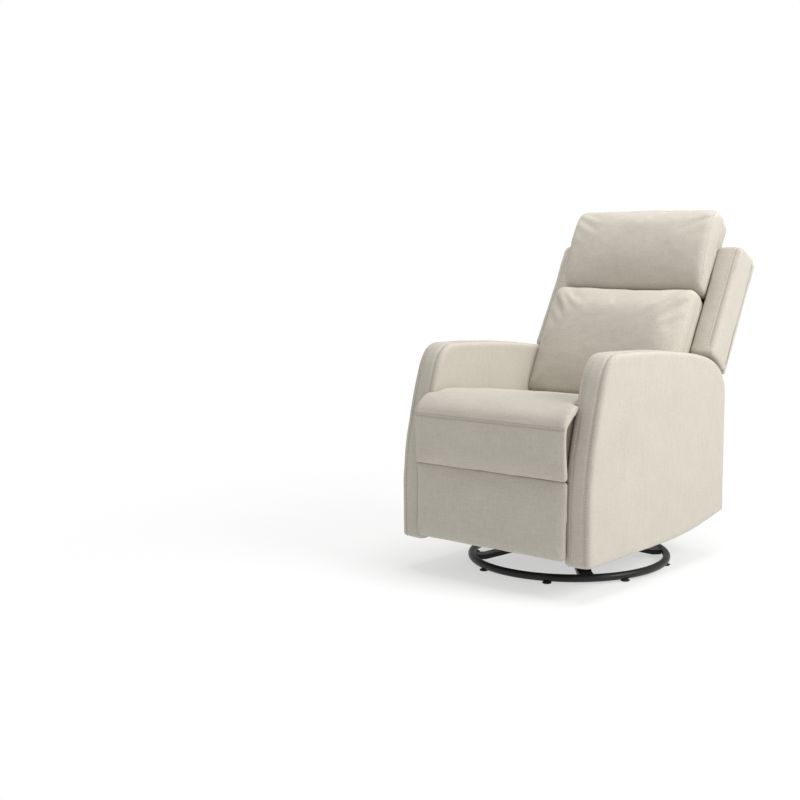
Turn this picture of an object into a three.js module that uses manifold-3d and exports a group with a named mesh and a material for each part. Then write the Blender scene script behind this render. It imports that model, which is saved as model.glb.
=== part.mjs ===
// Swivel glider recliner: an upholstered nursery chair on a round steel floor ring.
//
// Millimetres, +Z up, the chair faces -Y and +X is the sitter's left.
// Everything is drawn about the swivel axis (x = 0, y = 0, floor at z = 0); the
// whole chair is then shifted along Y so that the origin is under the middle of
// its overall depth.
//
// Load path: foot pads > floor ring and cross > ball race > turntable >
// four hanging glide links > mechanism plates > seat rails, arms and back.

import * as THREE from 'three';
import { mergeVertices } from 'three/addons/utils/BufferGeometryUtils.js';
import Module from 'manifold-3d';

const wasm = await Module();
wasm.setup();

// ---------------------------------------------------------------- dimensions

const GAP = 0.3;                    // between pieces that touch or run on each other

// overall
const OVERALL_WIDTH = 650;
const ARM_DEPTH = 728;
const SWIVEL_BEHIND_ARM_FRONT = 378;

// floor ring, cross and ball race
const RING_RADIUS = 289;            // centreline
const RING_TUBE_RADIUS = 11;
const PAD_COUNT = 8;
const PAD_RADIUS = 13;
const PAD_HEIGHT = 6;
const PAD_START_ANGLE = 22.5;       // degrees from +X to the first pad
const SPOKE_WIDTH = 40;
const SPOKE_THICKNESS = 14;
const HUB_RADIUS = 105;
const HUB_TOP = 57;
const RACE_THICKNESS = 5;
const RACE_BALL_RADIUS = 92;
const CAGE_WIDTH = 14;
const CAGE_THICKNESS = 6;
const SWIVEL_BOLT_RADIUS = 8;
const SWIVEL_HEAD_RADIUS = 14;
const SWIVEL_HEAD_HEIGHT = 9;

// glide linkage
const LINK_LENGTH = 120;            // pivot to pivot
const LINK_SPACING = 190;           // front pivot to rear pivot
const GLIDE_LOWER_PIVOT_Z = 115;
const GLIDE_STUD_RADIUS = 6;
const STUD_CAP = 2.5;               // how far a rivet head stands out past its stud
const STUD_CAP_THICKNESS = 2;
const LINK_HALF_WIDTH = 13;
const PLATE = 4;                    // thickness of every pressed steel plate and link
const PLATE_CLEARANCE = 2;          // air between two plates that pass each other
const BEAM_SPREAD = 80;             // turntable beams, centre of each from the swivel
const BEAM_WIDTH = 40;
const BEAM_HEIGHT = 20;

// seat
const SEAT_CREST_Z = 528;           // top of the cushion just behind its front roll
const SEAT_CREST_SETBACK = 78;      // crest behind the arm's front face
const SEAT_FALL = 50;               // how much lower the seat is at the back
const SEAT_THICKNESS = 128;
const SEAT_SIDE_CLEARANCE = 3;
const SEAT_SEAM_Z = 456;
const SEAT_LIP_BOTTOM_Z = 320;
const SEAT_LIP_DEPTH = 25;
const FRONT_PROUD = 27;             // soft front stands this far before the arms
const FRONT_OVERLAP = 19;           // soft front laps over each arm front
const RAIL_HEIGHT = 40;
const RAIL_THICKNESS = 24;
const RAIL_UNDER_CUSHION = 2;       // air between a rail and the foam
const FRONT_RAIL_SETBACK = 10;      // behind the arm's front face
const REAR_RAIL_SETBACK = 14;       // ahead of the cushion's rear face
const FRONT_RAIL_ABOVE_LIP = 4;
const SPRING_COUNT = 4;
const SPRING_WIRE_RADIUS = 2;
const SPRING_LOOPS = 11;
const SPRING_HALF_WIDTH = 24;
const SPRING_WIRE_SIDES = 5;

// arms
const ARM_THICKNESS = 82;
const ARM_BOTTOM_Z = 93;
const ARM_TOP_Z = 646;
const ARM_REAR_LIFT = 40;           // rear bottom corner above the front one
const ARM_BOARD = 18;
const ARM_BOARD_INSET = 20;
const ARM_FRONT_STRAIGHT = 147;     // upright part of the front, above the arm's foot

// side view of the arm, as points set back from its front face and down from its top
const ARM_LEAN_HANDLES = [[0, 301], [30, 191]];
const ARM_SHOULDER = [64, 81];
const ARM_ROLL_HANDLES = [[75, 45], [95, 0]];
const ARM_TOP_START = [140, 0];
const ARM_TOP_HANDLE = [318, 0];

// the same, as points ahead of its rear face and down from its top
const ARM_TOP_END = [240, 20];
const ARM_CORNER_HANDLES = [[100, 36.5], [0, 56]];
const ARM_CORNER_END = [0, 166];

// and its underside, as distances ahead of the rear face
const ARM_UNDER_START = 310;
const ARM_UNDER_HANDLE = [180, 5];  // the second one above the foot

// back
const BACK_LEAN = 29;               // degrees from upright
const RECLINE_PIVOT_BEFORE_ARM_REAR = 200;
const RECLINE_PIVOT_Z = 385;
const CREASE_HEIGHT = 377;          // along the back, from its foot
const BACK_HEIGHT = 640;
const HEADREST_HALF_WIDTH = 237;
const LUMBAR_HALF_WIDTH = 236;
const CUSHION_DEPTH = 100;          // behind the line of the back's front
const LUMBAR_CROWN = 20;
const HEADREST_CROWN = 12;
const WING_FRONT = 65;              // wing front face behind the same line
const WING_REAR = 160;
const WING_TOP = 566;
const WING_SIDE_INSET = 3;          // wing inside the arm's outer face
const WING_OVER_ARM = 9;            // air kept between wing and arm while reclining
const BACK_PANEL = 12;
const BACK_PANEL_FOOT = -70;
const BACK_PANEL_BELOW_WING = 4;
const STILE_DEPTH = 48;
const BACK_RAIL_HEIGHT = 50;

// legrest
const LEGREST_PIVOT_BEHIND_ARM_FRONT = 88;
const LEGREST_PIVOT_Z = 310;
const LEGREST_ARM_LENGTH = 150;
const LEGREST_REACH_LENGTH = 150;
const LEGREST_ARM_REST = -70;       // degrees from straight down, towards the front
const LEGREST_REACH_REST = 80;
const LEGREST_STUD_RADIUS = 5;
const LEGREST_PAD_BOTTOM_Z = 103;
const LEGREST_PAD_TOP_GAP = 3;
const LEGREST_BOARD = 15;

// release handle in the sitter's right arm
const RELEASE_BEHIND_SWIVEL = -60;
const RELEASE_BELOW_RAIL = 25;      // shaft under the seat's side rail
const CUP_HALF_LENGTH = 55;
const CUP_HALF_HEIGHT = 32;
const CUP_END_RADIUS = 26;
const CUP_DEPTH = 24;
const CUP_WALL = 3;
const RELEASE_SHAFT_RADIUS = 6;
const PADDLE_LENGTH = 60;            // from the shaft's axis to the finger end
const PADDLE_THICKNESS = 12;

// derived places
const HALF_WIDTH = OVERALL_WIDTH / 2;
const ARM_INNER = HALF_WIDTH - ARM_THICKNESS;
const ARM_FRONT = -SWIVEL_BEHIND_ARM_FRONT;
const ARM_REAR = ARM_FRONT + ARM_DEPTH;
const FRONT_FACE = ARM_FRONT - FRONT_PROUD;
const RECLINE = new THREE.Vector2(ARM_REAR - RECLINE_PIVOT_BEFORE_ARM_REAR, RECLINE_PIVOT_Z);
const LEAN = THREE.MathUtils.degToRad(BACK_LEAN);

// side-by-side planes of the mechanism, each the inner face of a plate
const ARM_TO_SEAT_PLATE = 58;       // room for three moving plates beside the arm
const PLATE_PITCH = PLATE + PLATE_CLEARANCE;
const X_MECHANISM = ARM_INNER - ARM_TO_SEAT_PLATE;
const HEADED_PITCH = PLATE + STUD_CAP_THICKNESS + PLATE_CLEARANCE;   // with a rivet head between
const X_GLIDE_LINK = X_MECHANISM - HEADED_PITCH;
const X_TURNTABLE_PLATE = X_GLIDE_LINK - HEADED_PITCH;
const X_FIRST_LINK = X_MECHANISM + PLATE_PITCH;
const X_SECOND_LINK = X_FIRST_LINK + PLATE_PITCH;
const X_THIRD_LINK = X_SECOND_LINK + PLATE_PITCH;
const RAIL_OUTER = ARM_INNER - 6;

// stacked heights of the swivel
const CAGE_BOTTOM = HUB_TOP + GAP;
const RACE_BOTTOM = CAGE_BOTTOM + CAGE_THICKNESS + GAP;
const RACE_TOP = RACE_BOTTOM + RACE_THICKNESS;
const BEAM_BOTTOM = RACE_TOP + GAP;

// the seat cushion's underside falls towards the back
const SEAT_CREST_Y = ARM_FRONT + SEAT_CREST_SETBACK;
const SEAT_BACK_Y = RECLINE.x - 38;
const SEAT_SLOPE = SEAT_FALL / (SEAT_BACK_Y - SEAT_CREST_Y);
const seatTopAt = (y) => SEAT_CREST_Z - SEAT_SLOPE * (y - SEAT_CREST_Y);
const seatUnderAt = (y) => seatTopAt(y) - SEAT_THICKNESS;

// the foot of the back's front line stands just behind the seat cushion's top edge
const BACK_FOOT = new THREE.Vector2(RECLINE.x - 34, seatTopAt(RECLINE.x - 34));

// ------------------------------------------------------------------ materials

const material = (color, roughness, metalness = 0) =>
  new THREE.MeshStandardMaterial({ color, roughness, metalness });

const weave = () => material(0xcfc5b6, 0.95);
const blackSteel = () => material(0x17181a, 0.45, 0.8);
const zincSteel = () => material(0x8f9398, 0.4, 0.9);
const plywood = () => material(0xc9a878, 0.75);
const springSteel = () => material(0x5c5f63, 0.35, 0.9);
const blackPlastic = () => material(0x1d1d1f, 0.6);
const blackRubber = () => material(0x141414, 0.9);

// ------------------------------------------------------------- shape builders

const chair = new THREE.Group();

function place(name, geometry, surface) {
  const mesh = new THREE.Mesh(geometry, surface);
  mesh.name = name;
  chair.add(mesh);
  return mesh;
}

// closed Manifold solid from a three.js geometry, and back again
function solidOf(geometry) {
  const bare = geometry.index ? geometry.toNonIndexed() : geometry.clone();
  bare.deleteAttribute('normal');
  bare.deleteAttribute('uv');
  const merged = mergeVertices(bare, 1e-3);
  return new wasm.Manifold(new wasm.Mesh({
    numProp: 3,
    vertProperties: new Float32Array(merged.attributes.position.array),
    triVerts: new Uint32Array(merged.index.array),
  }));
}

function geometryOf(solid) {
  const mesh = solid.getMesh();
  const geometry = new THREE.BufferGeometry();
  geometry.setAttribute('position', new THREE.BufferAttribute(mesh.vertProperties, 3));
  geometry.setIndex(new THREE.BufferAttribute(mesh.triVerts, 1));
  geometry.computeVertexNormals();
  return geometry;
}

const joined = (...geometries) =>
  geometryOf(geometries.map(solidOf).reduce((whole, piece) => whole.add(piece)));

const cut = (geometry, ...tools) =>
  geometryOf(tools.map(solidOf).reduce((whole, tool) => whole.subtract(tool), solidOf(geometry)));

function box(x0, x1, y0, y1, z0, z1) {
  const geometry = new THREE.BoxGeometry(x1 - x0, y1 - y0, z1 - z0);
  return geometry.translate((x0 + x1) / 2, (y0 + y1) / 2, (z0 + z1) / 2);
}

// outline of (y, z) points pushed along X from x0 to x1
function alongX(shape, x0, x1, curveSegments = 8) {
  const geometry = new THREE.ExtrudeGeometry(shape, {
    depth: x1 - x0, bevelEnabled: false, curveSegments,
  });
  const axes = new THREE.Matrix4().makeBasis(
    new THREE.Vector3(0, 1, 0), new THREE.Vector3(0, 0, 1), new THREE.Vector3(1, 0, 0));
  return geometry.applyMatrix4(axes).translate(x0, 0, 0);
}

// the same with rounded side edges, for soft pieces
function softAlongX(shape, x0, x1, roll, curveSegments = 6) {
  const geometry = new THREE.ExtrudeGeometry(shape, {
    depth: x1 - x0 - 2 * roll, curveSegments,
    bevelEnabled: true, bevelThickness: roll, bevelSize: roll, bevelOffset: -roll, bevelSegments: 2,
  });
  const axes = new THREE.Matrix4().makeBasis(
    new THREE.Vector3(0, 1, 0), new THREE.Vector3(0, 0, 1), new THREE.Vector3(1, 0, 0));
  return geometry.applyMatrix4(axes).translate(x0 + roll, 0, 0);
}

const outline = (...points) => new THREE.Shape(points.map(([y, z]) => new THREE.Vector2(y, z)));

// polygon with every corner rounded to its own radius: [y, z, radius]
function roundedOutline(corners) {
  const shape = new THREE.Shape();
  corners.forEach(([y, z, radius], i) => {
    const here = new THREE.Vector2(y, z);
    const before = new THREE.Vector2(...corners.at(i - 1).slice(0, 2));
    const after = new THREE.Vector2(...corners[(i + 1) % corners.length].slice(0, 2));
    const back = before.sub(here).normalize();
    const ahead = after.sub(here).normalize();
    const reach = radius / Math.tan(Math.acos(back.dot(ahead)) / 2);
    const start = here.clone().addScaledVector(back, reach);
    const end = here.clone().addScaledVector(ahead, reach);
    if (i === 0) shape.moveTo(start.x, start.y);
    else shape.lineTo(start.x, start.y);
    shape.quadraticCurveTo(here.x, here.y, end.x, end.y);
  });
  shape.closePath();
  return shape;
}

// round bar along X
function barAlongX(radius, x0, x1, y, z, segments = 12) {
  const geometry = new THREE.CylinderGeometry(radius, radius, x1 - x0, segments);
  return geometry.rotateZ(Math.PI / 2).translate((x0 + x1) / 2, y, z);
}

// profile of [radius, z] points turned about the swivel axis
function turned(profile, segments) {
  const points = profile.map(([r, z]) => new THREE.Vector2(r, z));
  return new THREE.LatheGeometry(points, segments).rotateX(Math.PI / 2);
}

// rivet: a stud out of a plate's face with a head outside the next plate, along +X
function rivet(radius, plateFace, nextPlate, y, z) {
  const headStart = nextPlate + PLATE + GAP;
  return joined(
    barAlongX(radius, plateFace - PLATE / 2, headStart + STUD_CAP_THICKNESS / 2, y, z),
    barAlongX(radius + STUD_CAP, headStart, headStart + STUD_CAP_THICKNESS, y, z));
}

const rivetHole = (radius, x0, x1, y, z) => barAlongX(radius + GAP, x0 - 1, x1 + 1, y, z);

// mirror image of a geometry in the chair's middle plane, faces kept outwards
function mirrored(geometry) {
  const solid = solidOf(geometry);
  return geometryOf(solid.mirror([1, 0, 0]));
}

// place the sitter's left (+X) piece and its mirror image on the right
function placePair(name, geometry, surface) {
  place(`${name}_left`, geometry, surface());
  place(`${name}_right`, mirrored(geometry), surface());
}

// flat bar with round ends between two (y, z) points, on the plane starting at x
function strap(from, to, halfWidth, x) {
  const along = to.clone().sub(from).normalize();
  const angle = Math.atan2(along.y, along.x);
  const shape = new THREE.Shape();
  shape.absarc(to.x, to.y, halfWidth, angle - Math.PI / 2, angle + Math.PI / 2, false);
  shape.absarc(from.x, from.y, halfWidth, angle + Math.PI / 2, angle + 1.5 * Math.PI, false);
  shape.closePath();
  return alongX(shape, x, x + PLATE, 7);
}

// ------------------------------------------------------------ floor ring, cross

function buildFloorRing() {
  const centre = PAD_HEIGHT + RING_TUBE_RADIUS;
  const section = [];
  const sides = 12;
  for (let i = 0; i <= sides; i += 1) {
    const turn = (i / sides) * 2 * Math.PI;
    const out = RING_TUBE_RADIUS * Math.cos(turn);
    const up = RING_TUBE_RADIUS * Math.sin(turn);
    section.push([RING_RADIUS + out, centre + up]);
  }
  place('base_ring', turned(section, 60), blackSteel());
}

function buildCross() {
  const inner = Math.hypot(RING_RADIUS - RING_TUBE_RADIUS, SPOKE_WIDTH / 2) - 2 * GAP
    - SPOKE_WIDTH ** 2 / 4 / (RING_RADIUS - RING_TUBE_RADIUS);
  const ringMiddle = PAD_HEIGHT + RING_TUBE_RADIUS;
  const low = ringMiddle - SPOKE_THICKNESS / 2;
  const high = HUB_TOP - RACE_THICKNESS - SPOKE_THICKNESS;
  const footLength = 26;              // level end welded into the ring
  const bendFromHub = 22;
  const foot = inner - footLength;
  const shoulder = HUB_RADIUS + bendFromHub;
  const bar = new THREE.Shape([
    [-inner, low], [-foot, low], [-shoulder, high], [shoulder, high], [foot, low], [inner, low],
    [inner, low + SPOKE_THICKNESS], [foot, low + SPOKE_THICKNESS],
    [shoulder, high + SPOKE_THICKNESS], [-shoulder, high + SPOKE_THICKNESS],
    [-foot, low + SPOKE_THICKNESS], [-inner, low + SPOKE_THICKNESS],
  ].map(([r, z]) => new THREE.Vector2(r, z)));
  const spoke = (turn) => alongX(bar, -SPOKE_WIDTH / 2, SPOKE_WIDTH / 2).rotateZ(turn);
  const race = turned([
    [0, HUB_TOP - RACE_THICKNESS - 1], [HUB_RADIUS, HUB_TOP - RACE_THICKNESS - 1],
    [HUB_RADIUS, HUB_TOP], [0, HUB_TOP],
  ], 48);
  const holeRadius = SWIVEL_BOLT_RADIUS + GAP;
  const holeTop = HUB_TOP + 20;
  const boltHole = turned([[0, 0], [holeRadius, 0], [holeRadius, holeTop], [0, holeTop]], 24);
  const cross = joined(spoke(Math.PI / 4), spoke(-Math.PI / 4), race);
  place('base_cross', cut(cross, boltHole), blackSteel());
}

function buildFootPads() {
  const chamfer = 2;
  const taper = 3;
  const top = PAD_HEIGHT - GAP;
  const pad = [
    [0, 0], [PAD_RADIUS - chamfer, 0], [PAD_RADIUS, chamfer], [PAD_RADIUS - taper, top], [0, top],
  ];
  for (let i = 0; i < PAD_COUNT; i += 1) {
    const turn = THREE.MathUtils.degToRad(PAD_START_ANGLE + (i * 360) / PAD_COUNT);
    const mesh = place(`foot_pad_${i + 1}`, turned(pad, 16), blackRubber());
    mesh.position.set(RING_RADIUS * Math.cos(turn), RING_RADIUS * Math.sin(turn), 0);
  }
}

// ------------------------------------------------------------------- turntable

const washer = (inner, outer, z0, z1) =>
  turned([[inner, z0], [outer, z0], [outer, z1], [inner, z1], [inner, z0]], 48);

function buildSwivel() {
  place('ball_cage', washer(RACE_BALL_RADIUS - CAGE_WIDTH / 2, RACE_BALL_RADIUS + CAGE_WIDTH / 2,
    CAGE_BOTTOM, CAGE_BOTTOM + CAGE_THICKNESS), zincSteel());
  place('turntable_disc',
    washer(SWIVEL_BOLT_RADIUS + GAP, HUB_RADIUS, RACE_BOTTOM, RACE_TOP), zincSteel());
  const headBottom = RACE_TOP + GAP;
  const belowCross = 6;
  const boltFoot = HUB_TOP - RACE_THICKNESS - SPOKE_THICKNESS - belowCross;
  place('swivel_bolt', turned([
    [0, boltFoot], [SWIVEL_BOLT_RADIUS, boltFoot], [SWIVEL_BOLT_RADIUS, headBottom],
    [SWIVEL_HEAD_RADIUS, headBottom], [SWIVEL_HEAD_RADIUS, headBottom + SWIVEL_HEAD_HEIGHT],
    [0, headBottom + SWIVEL_HEAD_HEIGHT],
  ], 24), zincSteel());
}

function buildTurntable() {
  const reach = X_TURNTABLE_PLATE - GAP;
  for (const [name, side] of [['front', -1], ['rear', 1]]) {
    const y = side * BEAM_SPREAD;
    place(`turntable_beam_${name}`,
      box(-reach, reach, y - BEAM_WIDTH / 2, y + BEAM_WIDTH / 2, BEAM_BOTTOM, BEAM_BOTTOM + BEAM_HEIGHT),
      blackSteel());
  }
  const upperPivotZ = GLIDE_LOWER_PIVOT_Z + LINK_LENGTH;
  const beyondPivot = 18;
  const abovePivot = 15;
  const half = LINK_SPACING / 2 + beyondPivot;
  const plate = alongX(roundedOutline([
    [-half, BEAM_BOTTOM, 6], [half, BEAM_BOTTOM, 6],
    [half, upperPivotZ + abovePivot, 14], [-half, upperPivotZ + abovePivot, 14],
  ]), X_TURNTABLE_PLATE, X_TURNTABLE_PLATE + PLATE);
  const face = X_TURNTABLE_PLATE + PLATE;
  const studs = [-1, 1].map((side) =>
    rivet(GLIDE_STUD_RADIUS, face, X_GLIDE_LINK, side * LINK_SPACING / 2, upperPivotZ));
  placePair('glide_hanger', joined(plate, ...studs), blackSteel);
}

function buildGlideLinks() {
  for (const [end, side] of [['front', -1], ['rear', 1]]) {
    const y = side * LINK_SPACING / 2;
    const top = new THREE.Vector2(y, GLIDE_LOWER_PIVOT_Z + LINK_LENGTH);
    const bottom = new THREE.Vector2(y, GLIDE_LOWER_PIVOT_Z);
    const link = cut(strap(top, bottom, LINK_HALF_WIDTH, X_GLIDE_LINK),
      ...[top, bottom].map((p) =>
        rivetHole(GLIDE_STUD_RADIUS, X_GLIDE_LINK, X_GLIDE_LINK + PLATE, p.x, p.y)));
    placePair(`glide_link_${end}`, link, zincSteel);
  }
}

// -------------------------------------------------------------- seat structure

const railTopAt = (y) => seatUnderAt(y) - RAIL_UNDER_CUSHION;
const sideRailBottomAt = (y) => railTopAt(y) - RAIL_HEIGHT;
const FRONT_RAIL_Y = ARM_FRONT + FRONT_RAIL_SETBACK;
const REAR_RAIL_Y = SEAT_BACK_Y - REAR_RAIL_SETBACK;
const LEGREST_PIVOT = new THREE.Vector2(ARM_FRONT + LEGREST_PIVOT_BEHIND_ARM_FRONT, LEGREST_PIVOT_Z);

function buildMechanismPlates() {
  const nose = LEGREST_PIVOT.x - 24;
  const noseFoot = LEGREST_PIVOT.y - 26;
  const earHalf = 18;
  const railEnd = REAR_RAIL_Y + RAIL_THICKNESS + 4;
  const heel = RECLINE.x + earHalf + 8;
  const heelZ = RECLINE.y - 75;
  const half = LINK_SPACING / 2 + 20;
  const foot = GLIDE_LOWER_PIVOT_Z - 18;
  const side = roundedOutline([
    [nose, sideRailBottomAt(nose) - GAP, 4],
    [railEnd, sideRailBottomAt(railEnd) - GAP, 1],
    [RECLINE.x - earHalf, RECLINE.y + earHalf, 10],
    [RECLINE.x + earHalf, RECLINE.y + earHalf, 10],
    [heel, heelZ, 20], [half, foot, 14], [-half, foot, 14], [nose, noseFoot, 16],
  ]);
  const face = X_MECHANISM + PLATE;
  const plate = joined(alongX(side, X_MECHANISM, face),
    rivet(LEGREST_STUD_RADIUS, face, X_FIRST_LINK, LEGREST_PIVOT.x, LEGREST_PIVOT.y),
    rivet(GLIDE_STUD_RADIUS, face, X_FIRST_LINK, RECLINE.x, RECLINE.y));
  // the glide studs point inwards, through the hanging links
  const inward = [-1, 1].map((end) => joined(
    barAlongX(GLIDE_STUD_RADIUS, X_GLIDE_LINK - GAP - STUD_CAP_THICKNESS / 2, X_MECHANISM + 1,
      end * LINK_SPACING / 2, GLIDE_LOWER_PIVOT_Z),
    barAlongX(GLIDE_STUD_RADIUS + STUD_CAP, X_GLIDE_LINK - GAP - STUD_CAP_THICKNESS / 2,
      X_GLIDE_LINK - GAP, end * LINK_SPACING / 2, GLIDE_LOWER_PIVOT_Z)));
  placePair('mechanism_plate', joined(plate, ...inward), zincSteel);
}

function buildCrossTubes() {
  const reach = X_MECHANISM - GAP;
  const half = 12.5;
  const aheadOfLinks = 105;
  const abovePivots = 90;
  const belowRecline = 65;
  const tube = (y, z) => box(-reach, reach, y - half, y + half, z - half, z + half);
  place('cross_tube_front',
    tube(-LINK_SPACING / 2 - aheadOfLinks, GLIDE_LOWER_PIVOT_Z + abovePivots), blackSteel());
  place('cross_tube_rear', tube(RECLINE.x, RECLINE.y - belowRecline), blackSteel());
}

function buildSeatRails() {
  const front = FRONT_RAIL_Y;
  const rear = REAR_RAIL_Y;
  const end = RAIL_OUTER;
  const frontFoot = SEAT_LIP_BOTTOM_Z + FRONT_RAIL_ABOVE_LIP;
  place('seat_rail_front', alongX(outline(
    [front, frontFoot], [front + RAIL_THICKNESS, frontFoot],
    [front + RAIL_THICKNESS, railTopAt(front + RAIL_THICKNESS)], [front, railTopAt(front)],
  ), -end, end), plywood());
  const rearFoot = railTopAt(rear) - RAIL_HEIGHT;
  place('seat_rail_rear', alongX(outline(
    [rear, rearFoot], [rear + RAIL_THICKNESS, rearFoot],
    [rear + RAIL_THICKNESS, railTopAt(rear + RAIL_THICKNESS)], [rear, railTopAt(rear)],
  ), -end, end), plywood());
  const from = front + RAIL_THICKNESS + GAP;
  const to = rear - GAP;
  const besidePlate = X_MECHANISM + 2;
  placePair('seat_rail_side', alongX(outline(
    [from, sideRailBottomAt(from)], [to, sideRailBottomAt(to)], [to, railTopAt(to)],
    [from, railTopAt(from)]), besidePlate, end), plywood);
}

// zigzag wire springs hung between the front and rear rails
function buildSeatSprings() {
  const from = FRONT_RAIL_Y + RAIL_THICKNESS + GAP + SPRING_WIRE_RADIUS;
  const to = REAR_RAIL_Y - GAP - SPRING_WIRE_RADIUS;
  const section = new THREE.Shape();
  for (let i = 0; i < SPRING_WIRE_SIDES; i += 1) {
    const turn = (i / SPRING_WIRE_SIDES) * 2 * Math.PI;
    const x = SPRING_WIRE_RADIUS * Math.cos(turn);
    const y = SPRING_WIRE_RADIUS * Math.sin(turn);
    if (i === 0) section.moveTo(x, y);
    else section.lineTo(x, y);
  }
  section.closePath();
  const underCushion = 8;
  const besideRail = 4;
  const span = 2 * (X_MECHANISM - besideRail - SPRING_HALF_WIDTH);
  for (let n = 0; n < SPRING_COUNT; n += 1) {
    const x = -span / 2 + (n * span) / (SPRING_COUNT - 1);
    const route = [];
    for (let k = 0; k <= SPRING_LOOPS; k += 1) {
      const y = THREE.MathUtils.lerp(from, to, k / SPRING_LOOPS);
      const reach = k % 2 === 0 ? SPRING_HALF_WIDTH : -SPRING_HALF_WIDTH;
      const inset = (to - from) / SPRING_LOOPS / 4;
      const z = seatUnderAt(y) - underCushion;
      if (k > 0) route.push(new THREE.Vector3(x + reach, y - inset, z));
      if (k < SPRING_LOOPS) route.push(new THREE.Vector3(x + reach, y + inset, z));
    }
    const path = new THREE.CatmullRomCurve3(route, false, 'centripetal');
    const wire = new THREE.ExtrudeGeometry(section, {
      steps: SPRING_LOOPS * 5, extrudePath: path, bevelEnabled: false,
    });
    place(`seat_spring_${n + 1}`, wire, springSteel());
  }
}

function buildSeatCushion() {
  const half = ARM_INNER - SEAT_SIDE_CLEARANCE;
  const lipHalf = ARM_INNER + FRONT_OVERLAP;
  const lipRear = FRONT_FACE + SEAT_LIP_DEPTH;
  const body = new THREE.Shape();
  const lipFoot = FRONT_FACE + 10;    // the front face leans in a little towards its foot
  body.moveTo(FRONT_FACE, SEAT_SEAM_Z);
  body.bezierCurveTo(FRONT_FACE + 4, SEAT_SEAM_Z + 38, SEAT_CREST_Y - 40, SEAT_CREST_Z,
    SEAT_CREST_Y, SEAT_CREST_Z);
  body.lineTo(SEAT_BACK_Y, seatTopAt(SEAT_BACK_Y));
  body.lineTo(SEAT_BACK_Y, seatUnderAt(SEAT_BACK_Y));
  body.lineTo(FRONT_RAIL_Y - GAP, seatUnderAt(FRONT_RAIL_Y));
  body.lineTo(FRONT_RAIL_Y - GAP, SEAT_LIP_BOTTOM_Z);
  body.lineTo(lipFoot, SEAT_LIP_BOTTOM_Z);
  body.closePath();
  const earTop = SEAT_SEAM_Z + 24;
  const ears = outline(
    [FRONT_FACE, SEAT_SEAM_Z], [lipFoot, SEAT_LIP_BOTTOM_Z], [lipRear, SEAT_LIP_BOTTOM_Z],
    [lipRear, earTop]);
  place('seat_cushion',
    joined(alongX(body, -half, half, 10), alongX(ears, -lipHalf, lipHalf)), weave());
}

// ------------------------------------------------------------------------ arms

// side view of an arm, drawn in from the true outline by the inset
function armShape(inset, bottom) {
  const front = ARM_FRONT + inset;
  const rear = ARM_REAR - inset;
  const top = ARM_TOP_Z - inset;
  const floor = bottom ?? ARM_BOTTOM_Z;
  const rearFloor = bottom ?? ARM_BOTTOM_Z + ARM_REAR_LIFT;
  const fromFront = ([back, down]) => [front + back, top - down];
  const fromRear = ([ahead, down]) => [rear - ahead, top - down];
  const shape = new THREE.Shape();
  shape.moveTo(front, floor);
  shape.lineTo(front, ARM_BOTTOM_Z + ARM_FRONT_STRAIGHT);
  // the front leans back, then rolls over into the top
  shape.bezierCurveTo(...ARM_LEAN_HANDLES.flatMap(fromFront), ...fromFront(ARM_SHOULDER));
  shape.bezierCurveTo(...ARM_ROLL_HANDLES.flatMap(fromFront), ...fromFront(ARM_TOP_START));
  // the top falls a little towards the back and ends in a big round corner
  shape.quadraticCurveTo(...fromFront(ARM_TOP_HANDLE), ...fromRear(ARM_TOP_END));
  shape.bezierCurveTo(...ARM_CORNER_HANDLES.flatMap(fromRear), ...fromRear(ARM_CORNER_END));
  shape.lineTo(rear, rearFloor);
  if (rearFloor === floor) {
    shape.lineTo(front, floor);
  } else {
    const [handleAhead, handleUp] = ARM_UNDER_HANDLE;
    shape.quadraticCurveTo(rear - handleAhead, floor + handleUp, rear - ARM_UNDER_START, floor);
  }
  shape.closePath();
  return shape;
}

const RELEASE_AXIS_Y = RELEASE_BEHIND_SWIVEL + CUP_HALF_LENGTH - CUP_END_RADIUS;
const RELEASE_Z = sideRailBottomAt(RELEASE_AXIS_Y) - RELEASE_BELOW_RAIL;

function releasePocket(grow, x0, x1) {
  const ahead = RELEASE_BEHIND_SWIVEL - CUP_HALF_LENGTH - grow;
  const behind = RELEASE_BEHIND_SWIVEL + CUP_HALF_LENGTH + grow;
  const low = RELEASE_Z - CUP_HALF_HEIGHT - grow;
  const high = RELEASE_Z + CUP_HALF_HEIGHT + grow;
  const radius = CUP_END_RADIUS + grow;
  return alongX(roundedOutline([
    [ahead, low, radius], [behind, low, radius], [behind, high, radius], [ahead, high, radius],
  ]), x0, x1, 5);
}

function buildArms() {
  const boardInner = ARM_INNER + (ARM_THICKNESS - ARM_BOARD) / 2;
  const boardOuter = boardInner + ARM_BOARD;
  const below = ARM_BOTTOM_Z - 40;    // the slot for the board is open at the arm's foot
  const past = 5;                     // a drill runs this far past both faces
  const boardFoot = ARM_BOTTOM_Z + ARM_REAR_LIFT + 4;
  const soft = cut(alongX(armShape(0), ARM_INNER, HALF_WIDTH, 8),
    alongX(armShape(ARM_BOARD_INSET, below), boardInner - GAP, boardOuter + GAP, 6));
  const board = alongX(armShape(ARM_BOARD_INSET + GAP, boardFoot), boardInner, boardOuter, 6);
  place('arm_left', soft, weave());
  place('arm_frame_left', board, plywood());
  const shaftHole = barAlongX(RELEASE_SHAFT_RADIUS + 2, -HALF_WIDTH - past, -ARM_INNER + past,
    RELEASE_AXIS_Y, RELEASE_Z);
  place('arm_right', cut(mirrored(soft),
    releasePocket(GAP, -HALF_WIDTH - past, -HALF_WIDTH + CUP_DEPTH + GAP), shaftHole), weave());
  place('arm_frame_right', cut(mirrored(board), shaftHole), plywood());
}

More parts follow.
